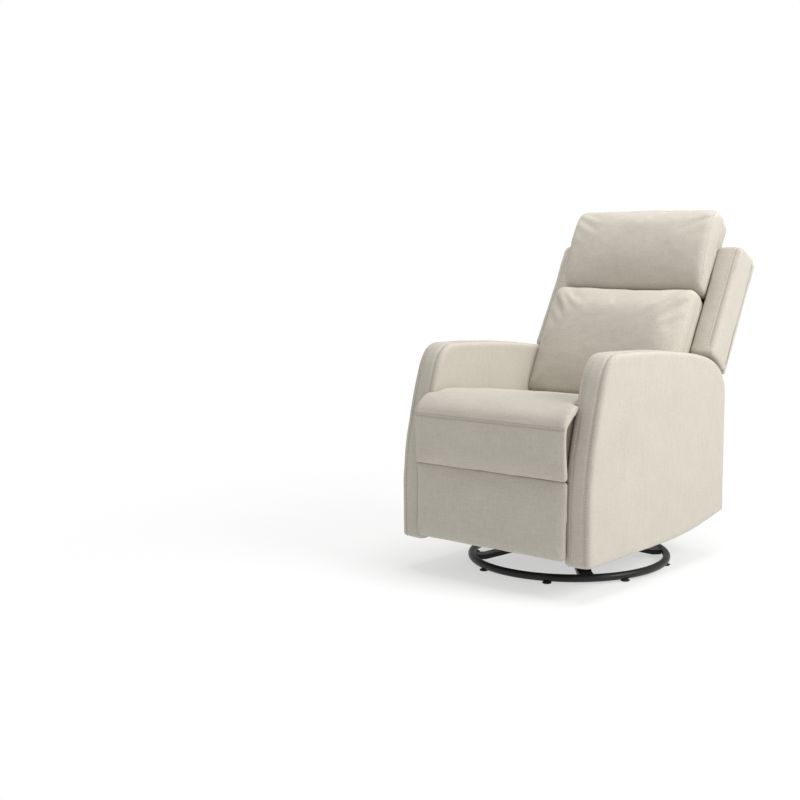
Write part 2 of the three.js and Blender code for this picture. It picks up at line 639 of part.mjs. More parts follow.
function buildRearPanel() {
  const half = ARM_INNER - GAP;
  const top = RECLINE.y - 30;         // the reclining back passes above it
  const foot = ARM_BOTTOM_Z + ARM_REAR_LIFT + 2;
  const rear = ARM_REAR - 2;
  place('rear_panel', box(-half, half, rear - BACK_PANEL, rear, foot, top), weave());
}

// ------------------------------------------------------------------------ back

// a point of the back: height along its front line, and how far behind that line
function backPoint(height, behind) {
  return [
    BACK_FOOT.x + height * Math.sin(LEAN) + behind * Math.cos(LEAN),
    BACK_FOOT.y + height * Math.cos(LEAN) - behind * Math.sin(LEAN),
  ];
}

const backOutline = (corners) => roundedOutline(corners.map(([height, behind, radius]) =>
  [...backPoint(height, behind), radius]));

// how far the arm's rear top corner reaches from the recline pivot
const ARM_CORNER_REACH = Math.max(...armShape(0).getPoints(24)
  .filter((p) => p.x > RECLINE.x && p.y > RECLINE.y)
  .map((p) => p.distanceTo(RECLINE)));
const WING_SWEEP_RADIUS = ARM_CORNER_REACH + WING_OVER_ARM;

// height on the back at which a line so far behind its front meets the sweep circle
function sweepHeight(behind) {
  const offset = new THREE.Vector2(...backPoint(0, behind)).sub(RECLINE);
  const along = new THREE.Vector2(Math.sin(LEAN), Math.cos(LEAN));
  const b = offset.dot(along);
  return -b + Math.sqrt(b * b - offset.lengthSq() + WING_SWEEP_RADIUS ** 2);
}

// cushion corners are [height, behind, radius]
function buildBackCushions() {
  const lumbar = backOutline([
    [4, 6, 16], [4, CUSHION_DEPTH - 1, 14], [CREASE_HEIGHT - 3, CUSHION_DEPTH - 1, 14],
    [CREASE_HEIGHT - 3, -LUMBAR_CROWN + 8, 34], [CREASE_HEIGHT * 0.55, -LUMBAR_CROWN, 60],
  ]);
  place('lumbar_cushion', softAlongX(lumbar, -LUMBAR_HALF_WIDTH, LUMBAR_HALF_WIDTH, 8), weave());
  const headrest = backOutline([
    [CREASE_HEIGHT + 3, 18, 24], [CREASE_HEIGHT + 3, CUSHION_DEPTH - 1, 14],
    [BACK_HEIGHT - 6, CUSHION_DEPTH - 1, 24], [BACK_HEIGHT, -HEADREST_CROWN + 4, 16],
    [CREASE_HEIGHT + 110, -HEADREST_CROWN - 8, 60],
  ]);
  place('headrest_cushion', softAlongX(headrest, -HEADREST_HALF_WIDTH, HEADREST_HALF_WIDTH, 8), weave());
}

function buildWings() {
  const shape = new THREE.Shape();
  const steps = 6;
  for (let i = 0; i <= steps; i += 1) {
    const behind = THREE.MathUtils.lerp(WING_FRONT, WING_REAR, i / steps);
    const point = backPoint(sweepHeight(behind), behind);
    if (i === 0) shape.moveTo(...point);
    else shape.lineTo(...point);
  }
  const rearRound = 16;
  const frontRound = 8;
  const rearTop = WING_TOP + 2;
  shape.lineTo(...backPoint(rearTop - rearRound, WING_REAR));
  shape.quadraticCurveTo(...backPoint(rearTop, WING_REAR),
    ...backPoint(rearTop, WING_REAR - rearRound));
  shape.lineTo(...backPoint(WING_TOP, WING_FRONT + frontRound));
  shape.quadraticCurveTo(...backPoint(WING_TOP, WING_FRONT),
    ...backPoint(WING_TOP - frontRound, WING_FRONT));
  shape.closePath();
  placePair('wing', alongX(shape, ARM_INNER, HALF_WIDTH - WING_SIDE_INSET, 4), weave);
}

// outside back: full width above the arms, narrow enough to pass between them below
function buildBackPanel() {
  const wide = HALF_WIDTH - WING_SIDE_INSET - 1;
  const narrow = ARM_INNER - 6;
  const rear = WING_REAR + GAP + BACK_PANEL;
  const shoulder = sweepHeight(rear);
  const top = WING_TOP - BACK_PANEL_BELOW_WING;
  const face = new THREE.Shape([
    [-narrow, BACK_PANEL_FOOT], [narrow, BACK_PANEL_FOOT], [narrow, shoulder], [wide, shoulder],
    [wide, top], [-wide, top], [-wide, shoulder], [-narrow, shoulder],
  ].map(([x, height]) => new THREE.Vector2(x, height)));
  const panel = new THREE.ExtrudeGeometry(face, { depth: BACK_PANEL, bevelEnabled: false });
  const across = new THREE.Vector3(1, 0, 0);
  const up = new THREE.Vector3(0, Math.sin(LEAN), Math.cos(LEAN));
  const forward = new THREE.Vector3().crossVectors(across, up);
  const [y, z] = backPoint(0, rear);
  panel.applyMatrix4(new THREE.Matrix4().makeBasis(across, up, forward)).translate(0, y, z);
  place('back_panel', panel, weave());
}

function buildBackFrame() {
  const front = CUSHION_DEPTH + 2;
  const rear = front + STILE_DEPTH;
  const outer = ARM_INNER - 8;
  const inner = X_FIRST_LINK + PLATE + GAP;
  const top = WING_TOP - 16;
  const plank = (low, high, x0, x1) => alongX(outline(backPoint(low, front),
    backPoint(low, rear), backPoint(high, rear), backPoint(high, front)), x0, x1);
  placePair('back_stile', plank(6, top, inner, outer), plywood);
  const topReach = inner - GAP;
  const bottomReach = X_FIRST_LINK - GAP;
  const railFoot = 10;
  place('back_rail_top', plank(top - BACK_RAIL_HEIGHT, top, -topReach, topReach), plywood());
  place('back_rail_bottom',
    plank(railFoot, railFoot + BACK_RAIL_HEIGHT, -bottomReach, bottomReach), plywood());
  // hinge plate: round eye on the recline rivet, arm bolted to the stile's inner side
  const eye = 16;
  const eyeShape = new THREE.Shape().absarc(RECLINE.x, RECLINE.y, eye, 0, 2 * Math.PI);
  const webTop = 70;
  const webRear = rear - 4;
  const webFront = front + 2;
  const web = outline([RECLINE.x - eye, RECLINE.y + 2], [RECLINE.x + eye - 2, RECLINE.y - 8],
    backPoint(8, webRear), backPoint(webTop, webRear), backPoint(webTop, webFront),
    backPoint(4, webFront));
  const plate = joined(alongX(eyeShape, X_FIRST_LINK, X_FIRST_LINK + PLATE, 12),
    alongX(web, X_FIRST_LINK, X_FIRST_LINK + PLATE));
  const hole = rivetHole(GLIDE_STUD_RADIUS, X_FIRST_LINK, X_FIRST_LINK + PLATE,
    RECLINE.x, RECLINE.y);
  placePair('back_bracket', cut(plate, hole), zincSteel);
}

// --------------------------------------------------------------------- legrest

// end of a legrest link that hangs from a pivot at an angle from straight down
function swung(from, length, degrees) {
  const turn = THREE.MathUtils.degToRad(degrees);
  return new THREE.Vector2(from.x - length * Math.sin(turn), from.y - length * Math.cos(turn));
}

function buildLegrest() {
  const knee = swung(LEGREST_PIVOT, LEGREST_ARM_LENGTH, LEGREST_ARM_REST);
  const tip = swung(knee, LEGREST_REACH_LENGTH, LEGREST_REACH_REST);
  const hole = (x, p) => rivetHole(LEGREST_STUD_RADIUS, x, x + PLATE, p.x, p.y);
  const upper = strap(LEGREST_PIVOT, knee, LINK_HALF_WIDTH, X_FIRST_LINK);
  const lower = strap(knee, tip, LINK_HALF_WIDTH - 2, X_SECOND_LINK);
  const first = joined(
    cut(upper, hole(X_FIRST_LINK, LEGREST_PIVOT)),
    rivet(LEGREST_STUD_RADIUS, X_FIRST_LINK + PLATE, X_SECOND_LINK, knee.x, knee.y));
  placePair('legrest_arm', first, zincSteel);
  const second = joined(
    cut(lower, hole(X_SECOND_LINK, knee)),
    rivet(LEGREST_STUD_RADIUS, X_SECOND_LINK + PLATE, X_THIRD_LINK, tip.x, tip.y));
  placePair('legrest_reach', second, zincSteel);

  const boardRear = ARM_FRONT + LEGREST_BOARD;
  const padTop = SEAT_LIP_BOTTOM_Z - LEGREST_PAD_TOP_GAP;
  const tongue = new THREE.Vector2(boardRear + 18, tip.y);
  const tongueHalf = 16;
  const webRear = boardRear + 20;
  const flangeWidth = 26;
  const bracketFoot = tip.y - 24;
  const bracketTop = tip.y + 24;
  const bracketFront = boardRear + GAP;
  const bracket = joined(
    cut(strap(tip, tongue, tongueHalf, X_THIRD_LINK), hole(X_THIRD_LINK, tip)),
    box(X_THIRD_LINK, X_THIRD_LINK + PLATE, bracketFront, webRear, bracketFoot, bracketTop),
    box(X_THIRD_LINK - flangeWidth, X_THIRD_LINK + 1, bracketFront, bracketFront + PLATE,
      bracketFoot, bracketTop));
  placePair('legrest_bracket', bracket, zincSteel);
  const boardHalf = ARM_INNER - 7;
  const boardInset = 12;
  place('legrest_board', box(-boardHalf, boardHalf, ARM_FRONT, boardRear,
    LEGREST_PAD_BOTTOM_Z + boardInset, padTop - boardInset), plywood());
  const padHalf = ARM_INNER + FRONT_OVERLAP;
  const padRear = ARM_FRONT - 2;
  const padTopFront = FRONT_FACE + 10;
  place('legrest_pad', alongX(roundedOutline([
    [FRONT_FACE, LEGREST_PAD_BOTTOM_Z, 7], [padRear, LEGREST_PAD_BOTTOM_Z, 4],
    [padRear, padTop, 4], [padTopFront, padTop, 7],
  ]), -padHalf, padHalf), weave());
}

// --------------------------------------------------------------------- release

function buildRelease() {
  const outer = -HALF_WIDTH;
  const rim = 2;
  const floorX = outer + CUP_DEPTH;
  const shell = releasePocket(0, outer, floorX);
  const hollow = releasePocket(-CUP_WALL, outer - rim, floorX - CUP_WALL);
  const hole = barAlongX(RELEASE_SHAFT_RADIUS + 1, floorX - CUP_WALL - 4, floorX + 4,
    RELEASE_AXIS_Y, RELEASE_Z);
  place('release_cup', cut(cut(shell, hollow), hole), blackPlastic());
  const paddleIn = floorX - CUP_WALL - 2;
  const finger = RELEASE_AXIS_Y - PADDLE_LENGTH;
  const fingerHalf = 7;
  const boss = 12;                    // paddle past its axis, and half its height there
  const paddle = alongX(roundedOutline([
    [finger, RELEASE_Z - fingerHalf, 6], [RELEASE_AXIS_Y + boss, RELEASE_Z - boss, 10],
    [RELEASE_AXIS_Y + boss, RELEASE_Z + boss, 10], [finger, RELEASE_Z + fingerHalf, 6],
  ]), paddleIn - PADDLE_THICKNESS, paddleIn);
  const shaft = barAlongX(RELEASE_SHAFT_RADIUS, paddleIn - 1, -X_SECOND_LINK,
    RELEASE_AXIS_Y, RELEASE_Z);
  const camTop = RELEASE_Z + 14;
  const camFoot = RELEASE_Z - 12;
  const cam = alongX(roundedOutline([
    [RELEASE_AXIS_Y - 14, camFoot, 8], [RELEASE_AXIS_Y + 14, camFoot, 8],
    [RELEASE_AXIS_Y + 10, camTop, 8], [RELEASE_AXIS_Y - 10, camTop, 8],
  ]), -X_SECOND_LINK - 1, -X_FIRST_LINK);
  place('release_handle', joined(paddle, shaft, cam), blackPlastic());
}

// -------------------------------------------------------------------- assembly

buildFloorRing();
buildCross();
buildFootPads();
buildSwivel();
buildTurntable();
buildGlideLinks();
buildMechanismPlates();
buildCrossTubes();
buildSeatRails();
buildSeatSprings();
buildSeatCushion();
buildArms();
buildRearPanel();
buildBackCushions();
buildWings();
buildBackPanel();
buildBackFrame();
buildLegrest();
buildRelease();

// origin under the middle of the overall depth
const panelRear = WING_REAR + GAP + BACK_PANEL;
const deepest = backPoint(WING_TOP - BACK_PANEL_BELOW_WING, panelRear)[0];
chair.position.y = -(FRONT_FACE + deepest) / 2;

export default chair;
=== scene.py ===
import math

import bmesh
import bpy
import numpy as np
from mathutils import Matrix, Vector, geometry, noise
from mathutils.bvhtree import BVHTree
from mathutils.kdtree import KDTree


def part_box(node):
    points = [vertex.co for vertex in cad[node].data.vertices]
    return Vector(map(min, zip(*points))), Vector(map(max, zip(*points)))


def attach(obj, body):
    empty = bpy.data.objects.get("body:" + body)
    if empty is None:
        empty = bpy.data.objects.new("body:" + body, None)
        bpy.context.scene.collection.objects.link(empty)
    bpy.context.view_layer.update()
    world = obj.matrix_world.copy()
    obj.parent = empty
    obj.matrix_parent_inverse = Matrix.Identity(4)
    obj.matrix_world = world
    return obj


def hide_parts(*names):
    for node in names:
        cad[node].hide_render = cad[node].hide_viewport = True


# Swivel glider nursery chair: upholstered seat, arms and reclining back on a round steel
# floor ring. Metres, +Z up; the chair faces -Y, and +X is the sitter's left.
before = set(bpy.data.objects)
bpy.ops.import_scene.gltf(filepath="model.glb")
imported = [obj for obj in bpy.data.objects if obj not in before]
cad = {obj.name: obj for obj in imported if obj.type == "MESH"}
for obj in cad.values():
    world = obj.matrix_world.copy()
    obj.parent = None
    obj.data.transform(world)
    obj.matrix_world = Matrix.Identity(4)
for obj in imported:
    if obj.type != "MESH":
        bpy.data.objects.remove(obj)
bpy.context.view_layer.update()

# ---------------------------------------------------------------- studio
# White sweep, one large soft light high on the chair's left side, a weaker one overhead,
# and even white light all round.
scene = bpy.context.scene
scene.view_settings.view_transform = "Standard"
CAMERA_DOWN, CAMERA_ROUND = 6.99, 38.56      # degrees below level, and round from -Y
lens = bpy.data.cameras.new("camera")
lens.lens = 56.8
lens.sensor_width = 36.0
lens.shift_x = -0.1
camera = bpy.data.objects.new("camera", lens)
camera.location = (2.090, -3.114, 0.929)
camera.rotation_euler = (math.radians(90 - CAMERA_DOWN), 0, math.radians(CAMERA_ROUND))
scene.collection.objects.link(camera)
scene.camera = camera


def soft_light(name, place, aim, size, watts):
    lamp = bpy.data.lights.new(name, "AREA")
    lamp.shape = "DISK"
    lamp.size = size
    lamp.energy = watts
    held = bpy.data.objects.new(name, lamp)
    held.location = place
    held.rotation_euler = (Vector(aim) - Vector(place)).to_track_quat("-Z", "Y").to_euler()
    scene.collection.objects.link(held)


soft_light("key_light", (3.4, 0.3, 2.5), (0, 0, 0.5), 2.2, 112)
soft_light("top_light", (0.1, 0.2, 3.6), (0, -0.1, 0.5), 2.4, 68)


def node(tree, kind, links=None, **settings):
    made = tree.nodes.new(kind)
    for key, value in settings.items():
        setattr(made, key, value)
    for key, value in (links or {}).items():
        if isinstance(value, bpy.types.NodeSocket):
            tree.links.new(value, made.inputs[key])
        else:
            made.inputs[key].default_value = value
    return made


def math_of(tree, operation, a, b=None):
    made = node(tree, "ShaderNodeMath", {0: a}, operation=operation)
    if isinstance(b, bpy.types.NodeSocket):
        tree.links.new(b, made.inputs[1])
    elif b is not None:
        made.inputs[1].default_value = b
    return made.outputs[0]


world = bpy.data.worlds.new("studio")
scene.world = world
world.use_nodes = True
sky = world.node_tree
sky.nodes.clear()
seen = node(sky, "ShaderNodeBackground", {"Color": (1, 1, 1, 1), "Strength": 1.0})
lit = node(sky, "ShaderNodeBackground", {"Color": (1, 1, 1, 1), "Strength": 0.50})
ray = node(sky, "ShaderNodeLightPath")
both = node(sky, "ShaderNodeMixShader", {
    0: ray.outputs["Is Camera Ray"], 1: lit.outputs[0], 2: seen.outputs[0]})
node(sky, "ShaderNodeOutputWorld", {"Surface": both.outputs[0]})

FLOOR_HALF = 30
floor_mesh = bpy.data.meshes.new("floor")
floor_mesh.from_pydata([(x * FLOOR_HALF, y * FLOOR_HALF, 0) for x, y in (
    (-1, -1), (1, -1), (1, 1), (-1, 1))], [], [(0, 1, 2, 3)])
floor = bpy.data.objects.new("floor", floor_mesh)
scene.collection.objects.link(floor)
sweep = bpy.data.materials.new("white_floor")
sweep.use_nodes = True
tree = sweep.node_tree
tree.nodes.clear()
place = node(tree, "ShaderNodeTexCoord")
far = node(tree, "ShaderNodeVectorMath", {0: place.outputs["Object"]}, operation="LENGTH")
fade = node(tree, "ShaderNodeMapRange", {
    "Value": far.outputs["Value"], "From Min": 0.5, "From Max": 2.0, "To Min": 0.55},
    interpolation_type="SMOOTHSTEP")
paper = node(tree, "ShaderNodeBsdfDiffuse", {"Color": (0.93, 0.93, 0.93, 1)})
glow = node(tree, "ShaderNodeEmission", {"Color": (1, 1, 1, 1), "Strength": 1.0})
mixed = node(tree, "ShaderNodeMixShader", {
    0: fade.outputs[0], 1: paper.outputs[0], 2: glow.outputs[0]})
node(tree, "ShaderNodeOutputMaterial", {"Surface": mixed.outputs[0]})
floor_mesh.materials.append(sweep)


# ---------------------------------------------------------------- floor ring
# Bent steel tube, welded into a ring and powder coated satin black. The coat is slightly
# pebbled and a little dusty all over.
def finish_of(name, color, roughness, metallic=0.0):
    made = bpy.data.materials.new(name)
    made.use_nodes = True
    skin = made.node_tree.nodes["Principled BSDF"]
    skin.inputs["Base Color"].default_value = (*color, 1)
    skin.inputs["Roughness"].default_value = roughness
    skin.inputs["Metallic"].default_value = metallic
    return made, made.node_tree, skin


def speckled(tree, scale, detail=2.0, stretch=None):
    at = node(tree, "ShaderNodeTexCoord").outputs["Object"]
    if stretch:
        at = node(tree, "ShaderNodeMapping", {"Vector": at, "Scale": stretch}).outputs[0]
    return node(tree, "ShaderNodeTexNoise", {"Vector": at, "Scale": scale, "Detail": detail}).outputs[0]


def shaded(tree, skin, amount, dark, light, low=0.3, high=0.7):
    ramp = node(tree, "ShaderNodeValToRGB", {0: amount})
    for stop, place, tint in zip(ramp.color_ramp.elements, (low, high), (dark, light)):
        stop.position, stop.color = place, (*tint, 1)
    tree.links.new(ramp.outputs[0], skin.inputs["Base Color"])


def roughened(tree, skin, amount, low, high):
    spread = node(tree, "ShaderNodeMapRange", {"Value": amount, "To Min": low, "To Max": high})
    tree.links.new(spread.outputs[0], skin.inputs["Roughness"])


def bumped(tree, skin, height, strength, distance):
    bump = node(tree, "ShaderNodeBump", {
        "Height": height, "Strength": strength, "Distance": distance})
    tree.links.new(bump.outputs[0], skin.inputs["Normal"])


powder_coat, tree, skin = finish_of("black_powder_coat", (0.012, 0.012, 0.013), 0.38)
shaded(tree, skin, speckled(tree, 14, 4), (0.008, 0.008, 0.009), (0.021, 0.021, 0.022))
roughened(tree, skin, speckled(tree, 40, 3), 0.28, 0.50)
bumped(tree, skin, speckled(tree, 1400), 0.25, 0.0002)
skin.inputs["Specular IOR Level"].default_value = 0.28

ring_low, ring_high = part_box("base_ring")
ring_tube = (ring_high.z - ring_low.z) / 2
ring_radius = (ring_high.x - ring_low.x) / 2 - ring_tube
ring_middle = (ring_low + ring_high) / 2


def tree_for(name, *sizes):
    """Geometry node tree whose group inputs are the named sizes, and its two end nodes."""
    made = bpy.data.node_groups.new(name, "GeometryNodeTree")
    made.interface.new_socket("Geometry", in_out="INPUT", socket_type="NodeSocketGeometry")
    for label, kind in sizes:
        made.interface.new_socket(label, in_out="INPUT", socket_type=kind)
    made.interface.new_socket("Geometry", in_out="OUTPUT", socket_type="NodeSocketGeometry")
    return made, node(made, "NodeGroupInput").outputs, node(made, "NodeGroupOutput")


def ended(tree, shape, given, out):
    """Ends a tree: its instances are made real and its material is set."""
    whole = node(tree, "GeometryNodeRealizeInstances", {0: shape.outputs[0]})
    coated = node(tree, "GeometryNodeSetMaterial", {
        0: whole.outputs[0], "Material": given["Material"]})
    tree.links.new(coated.outputs[0], out.inputs[0])


def baked(piece):
    """Applies the piece's modifiers to its mesh."""
    depsgraph = bpy.context.evaluated_depsgraph_get()
    piece.data = bpy.data.meshes.new_from_object(piece.evaluated_get(depsgraph))
    piece.modifiers.clear()


def dress(piece, material):
    piece.data.materials.clear()
    piece.data.materials.append(material)
    for face in piece.data.polygons:
        face.use_smooth = True
        face.material_index = 0
    return piece


def grown(name, tree, start, material, **values):
    """Plain mesh piece that the tree grows from the start mesh, with its inputs set by name."""
    seed = bpy.data.objects.new(name, start)
    scene.collection.objects.link(seed)
    made_by = seed.modifiers.new(name, "NODES")
    made_by.node_group = tree
    for item in tree.interface.items_tree:
        key = item.name.replace(" ", "_").lower()
        if item.in_out == "INPUT" and key in values:
            made_by[item.identifier] = values[key]
        elif item.in_out == "INPUT" and item.name == "Material":
            made_by[item.identifier] = material
    baked(seed)
    return dress(seed, material)


def dot_mesh(name, points, edges=()):
    mesh = bpy.data.meshes.new(name)
    mesh.from_pydata([tuple(p) for p in points], list(edges), [])
    return mesh


ring_tree, given, out = tree_for(
    "bent_tube_ring", ("Ring Radius", "NodeSocketFloat"), ("Tube Radius", "NodeSocketFloat"),
    ("Centre", "NodeSocketVector"), ("Material", "NodeSocketMaterial"))
loop = node(ring_tree, "GeometryNodeCurvePrimitiveCircle", {
    "Resolution": 160, "Radius": given["Ring Radius"]})
tube = node(ring_tree, "GeometryNodeCurvePrimitiveCircle", {
    "Resolution": 24, "Radius": given["Tube Radius"]})
swept = node(ring_tree, "GeometryNodeCurveToMesh", {0: loop.outputs[0], 1: tube.outputs[0]})
moved = node(ring_tree, "GeometryNodeTransform", {
    "Geometry": swept.outputs[0], "Translation": given["Centre"]})
ended(ring_tree, moved, given, out)
floor_ring = grown("floor_ring", ring_tree, dot_mesh("floor_ring", [(0, 0, 0)]), powder_coat,
                   ring_radius=ring_radius, tube_radius=ring_tube, centre=tuple(ring_middle))


def outward(piece, merge=1e-5):
    """Merges doubles, drops loose points and turns every face of a closed piece outwards."""
    work = bmesh.new()
    work.from_mesh(piece.data)
    bmesh.ops.remove_doubles(work, verts=work.verts, dist=merge)
    loose = [v for v in work.verts if not v.link_faces]
    bmesh.ops.delete(work, geom=loose, context="VERTS")
    bmesh.ops.recalc_face_normals(work, faces=work.faces)
    work.to_mesh(piece.data)
    work.free()
    return piece


outward(floor_ring)
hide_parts("base_ring")
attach(floor_ring, "base")

# Foot pads: eight moulded rubber buttons pressed into the underside of the ring, each a
# turned shape with a chamfered sole.
rubber, tree, skin = finish_of("black_rubber", (0.016, 0.016, 0.016), 0.8)
shaded(tree, skin, speckled(tree, 120, 3), (0.010, 0.010, 0.010), (0.030, 0.029, 0.028))
bumped(tree, skin, speckled(tree, 900), 0.3, 0.0002)

pad_low, pad_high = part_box("foot_pad_1")
pads = [n for n in cad if n.startswith("foot_pad_")]
pad_tree, given, out = tree_for(
    "ring_foot_pads", ("Pad Radius", "NodeSocketFloat"), ("Pad Height", "NodeSocketFloat"),
    ("Material", "NodeSocketMaterial"))
tiers = node(pad_tree, "GeometryNodeJoinGeometry")
for radius_low, radius_high, start, end in (
        (0.80, 1.0, 0.0, 0.30), (1.0, 1.0, 0.30, 0.62), (1.0, 0.72, 0.62, 0.98)):
    tier = node(pad_tree, "GeometryNodeMeshCone", {
        "Vertices": 32,
        "Radius Bottom": math_of(pad_tree, "MULTIPLY", given["Pad Radius"], radius_low),
        "Radius Top": math_of(pad_tree, "MULTIPLY", given["Pad Radius"], radius_high),
        "Depth": math_of(pad_tree, "MULTIPLY", given["Pad Height"], end - start)})
    up = node(pad_tree, "ShaderNodeCombineXYZ", {
        "Z": math_of(pad_tree, "MULTIPLY", given["Pad Height"], start)})
    stood = node(pad_tree, "GeometryNodeTransform", {
        "Geometry": tier.outputs[0], "Translation": up.outputs[0]})
    pad_tree.links.new(stood.outputs[0], tiers.inputs[0])
spots = node(pad_tree, "GeometryNodeMeshToPoints", {0: given["Geometry"]})
placed = node(pad_tree, "GeometryNodeInstanceOnPoints", {
    "Points": spots.outputs[0], "Instance": tiers.outputs[0]})
ended(pad_tree, placed, given, out)
pad_centres = []
for pad in pads:
    low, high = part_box(pad)
    pad_centres.append(((low.x + high.x) / 2, (low.y + high.y) / 2, 0.0))
foot_pads = grown("foot_pads", pad_tree, dot_mesh("foot_pads", pad_centres), rubber,
                  pad_radius=(pad_high.x - pad_low.x) / 2, pad_height=pad_high.z)
outward(foot_pads)
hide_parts(*pads)
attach(foot_pads, "base")

# ---------------------------------------------------------------- swivel and glide steelwork
# Pressed and welded steel under the seat: black powder coat on the cross, the turntable
# beams and the hangers, bright zinc plate on everything that moves or turns. The seat's plywood
# is bare; the back's stiles and bottom rail are wrapped in black cambric.
zinc, tree, skin = finish_of("zinc_plate", (0.60, 0.61, 0.62), 0.36, 1.0)
shaded(tree, skin, speckled(tree, 55, 4), (0.42, 0.43, 0.45), (0.68, 0.69, 0.69))
roughened(tree, skin, speckled(tree, 160, 3), 0.26, 0.52)
bumped(tree, skin, speckled(tree, 500), 0.12, 0.0002)

spring_wire, tree, skin = finish_of("spring_wire", (0.16, 0.16, 0.17), 0.34, 1.0)
shaded(tree, skin, speckled(tree, 90, 3), (0.09, 0.09, 0.10), (0.22, 0.22, 0.23))
roughened(tree, skin, speckled(tree, 300, 2), 0.25, 0.45)

plywood, tree, skin = finish_of("birch_plywood", (0.60, 0.42, 0.24), 0.62)
grain = speckled(tree, 1.0, 5, (7, 90, 90))
shaded(tree, skin, grain, (0.42, 0.27, 0.14), (0.68, 0.50, 0.30))
roughened(tree, skin, grain, 0.52, 0.74)
bumped(tree, skin, speckled(tree, 1.0, 3, (30, 600, 600)), 0.25, 0.0003)

plastic, tree, skin = finish_of("moulded_black_plastic", (0.014, 0.014, 0.015), 0.5)
shaded(tree, skin, speckled(tree, 30, 3), (0.010, 0.010, 0.011), (0.020, 0.020, 0.021))
roughened(tree, skin, speckled(tree, 700, 2), 0.42, 0.6)
bumped(tree, skin, speckled(tree, 1100, 1), 0.35, 0.0002)

cambric, tree, skin = finish_of("black_cambric", (0.03, 0.029, 0.028), 0.9)
shaded(tree, skin, speckled(tree, 300, 2), (0.020, 0.019, 0.018), (0.045, 0.043, 0.040))
bumped(tree, skin, speckled(tree, 1.0, 2, (1200, 1200, 1200)), 0.3, 0.0003)

wooden = ("seat_rail", "arm_frame")
lined = ("back_stile", "back_rail_bottom")
blackened = ("base_cross", "turntable_beam", "glide_hanger", "cross_tube")
for name, part in cad.items():
    if name.startswith(wooden):
        surface = plywood
    elif name.startswith(lined):
        surface = cambric
    elif name.startswith(blackened):
        surface = powder_coat
    elif name.startswith("seat_spring"):
        surface = spring_wire
    elif name.startswith("release"):
        surface = plastic
    else:
        surface = zinc
    for slot in part.material_slots:
        slot.material = surface

# ---------------------------------------------------------------- arms
# Each arm is a plywood board wrapped in foam and covered in woven linen: two side panels
# that turn 20 mm onto the edge, joined by a band that runs up the front and over the top.
linen, tree, skin = finish_of("woven_linen", (0.52, 0.48, 0.42), 0.9)
skin.inputs["Sheen Weight"].default_value = 0.15
skin.inputs["Sheen Roughness"].default_value = 0.45
skin.inputs["Sheen Tint"].default_value = (1.0, 0.97, 0.92, 1)
skin.inputs["Specular IOR Level"].default_value = 0.22
THREAD_PITCH = 0.0017

weave = bpy.data.node_groups.new("plain_weave", "ShaderNodeTree")
weave.interface.new_socket("Vector", in_out="INPUT", socket_type="NodeSocketVector")
weave.interface.new_socket("Facing", in_out="INPUT", socket_type="NodeSocketVector")
weave.interface.new_socket("Height", in_out="OUTPUT", socket_type="NodeSocketFloat")
put_in = node(weave, "NodeGroupInput").outputs
put_out = node(weave, "NodeGroupOutput")
at = node(weave, "ShaderNodeSeparateXYZ", {0: put_in["Vector"]}).outputs
facing = node(weave, "ShaderNodeSeparateXYZ", {0: put_in["Facing"]}).outputs
waves = [math_of(weave, "SINE", math_of(weave, "MULTIPLY", at[i], math.pi / THREAD_PITCH))
         for i in range(3)]
crowns = [math_of(weave, "ABSOLUTE", wave) for wave in waves]
shares = [math_of(weave, "POWER", math_of(weave, "ABSOLUTE", facing[i]), 6.0) for i in range(3)]
height = None
for across, (a, b) in enumerate(((1, 2), (0, 2), (0, 1))):
    over = math_of(weave, "GREATER_THAN", math_of(weave, "MULTIPLY", waves[a], waves[b]), 0.0)
    under = math_of(weave, "SUBTRACT", 1.0, over)
    warp = math_of(weave, "MULTIPLY", crowns[a], over)
    weft = math_of(weave, "MULTIPLY", crowns[b], under)
    layer = math_of(weave, "MULTIPLY", math_of(weave, "ADD", warp, weft), shares[across])
    height = layer if height is None else math_of(weave, "ADD", height, layer)
total = math_of(weave, "ADD", math_of(weave, "ADD", shares[0], shares[1]), shares[2])
weave.links.new(math_of(weave, "DIVIDE", height, total), put_out.inputs[0])

coords = node(tree, "ShaderNodeTexCoord").outputs
threads = node(tree, "ShaderNodeGroup", node_tree=weave)
tree.links.new(coords["Object"], threads.inputs[0])
tree.links.new(coords["Normal"], threads.inputs[1])
slub_across = speckled(tree, 1.0, 3, (22, 260, 260))
slub_up = speckled(tree, 1.0, 3, (260, 260, 26))
flecks = speckled(tree, 330, 2)
clouds = speckled(tree, 9, 3)
tone = 0.0
for pattern, share in ((slub_across, 0.20), (slub_up, 0.20), (flecks, 0.38), (clouds, 0.14),
                       (threads.outputs[0], 0.08)):
    tone = math_of(tree, "ADD", tone, math_of(tree, "MULTIPLY", pattern, share))
shaded(tree, skin, tone, (0.445, 0.411, 0.350), (0.585, 0.549, 0.482), 0.34, 0.66)
relief = math_of(tree, "ADD", math_of(tree, "MULTIPLY", threads.outputs[0], 0.5),
                 math_of(tree, "MULTIPLY", math_of(tree, "ADD", slub_across, slub_up), 0.7))
bumped(tree, skin, relief, 0.4, 0.0007)
roughened(tree, skin, tone, 0.95, 0.82)

# The back's top rail and the legrest's board are wrapped in the same linen.
for covered in ("back_rail_top", "legrest_board"):
    for slot in cad[covered].material_slots:
        slot.material = linen

# Thread tone is partly a beige thread and partly painted shade: it is darkened to stand for the shadow in
# the sunk stitch holes.
sewing_thread, tree, skin = finish_of("sewing_thread", (0.30, 0.26, 0.21), 0.6)
skin.inputs["Sheen Weight"].default_value = 0.3
shaded(tree, skin, speckled(tree, 900, 2), (0.22, 0.185, 0.145), (0.34, 0.295, 0.235))
bumped(tree, skin, speckled(tree, 1.0, 1, (1500, 1500, 1500)), 0.4, 0.0002)

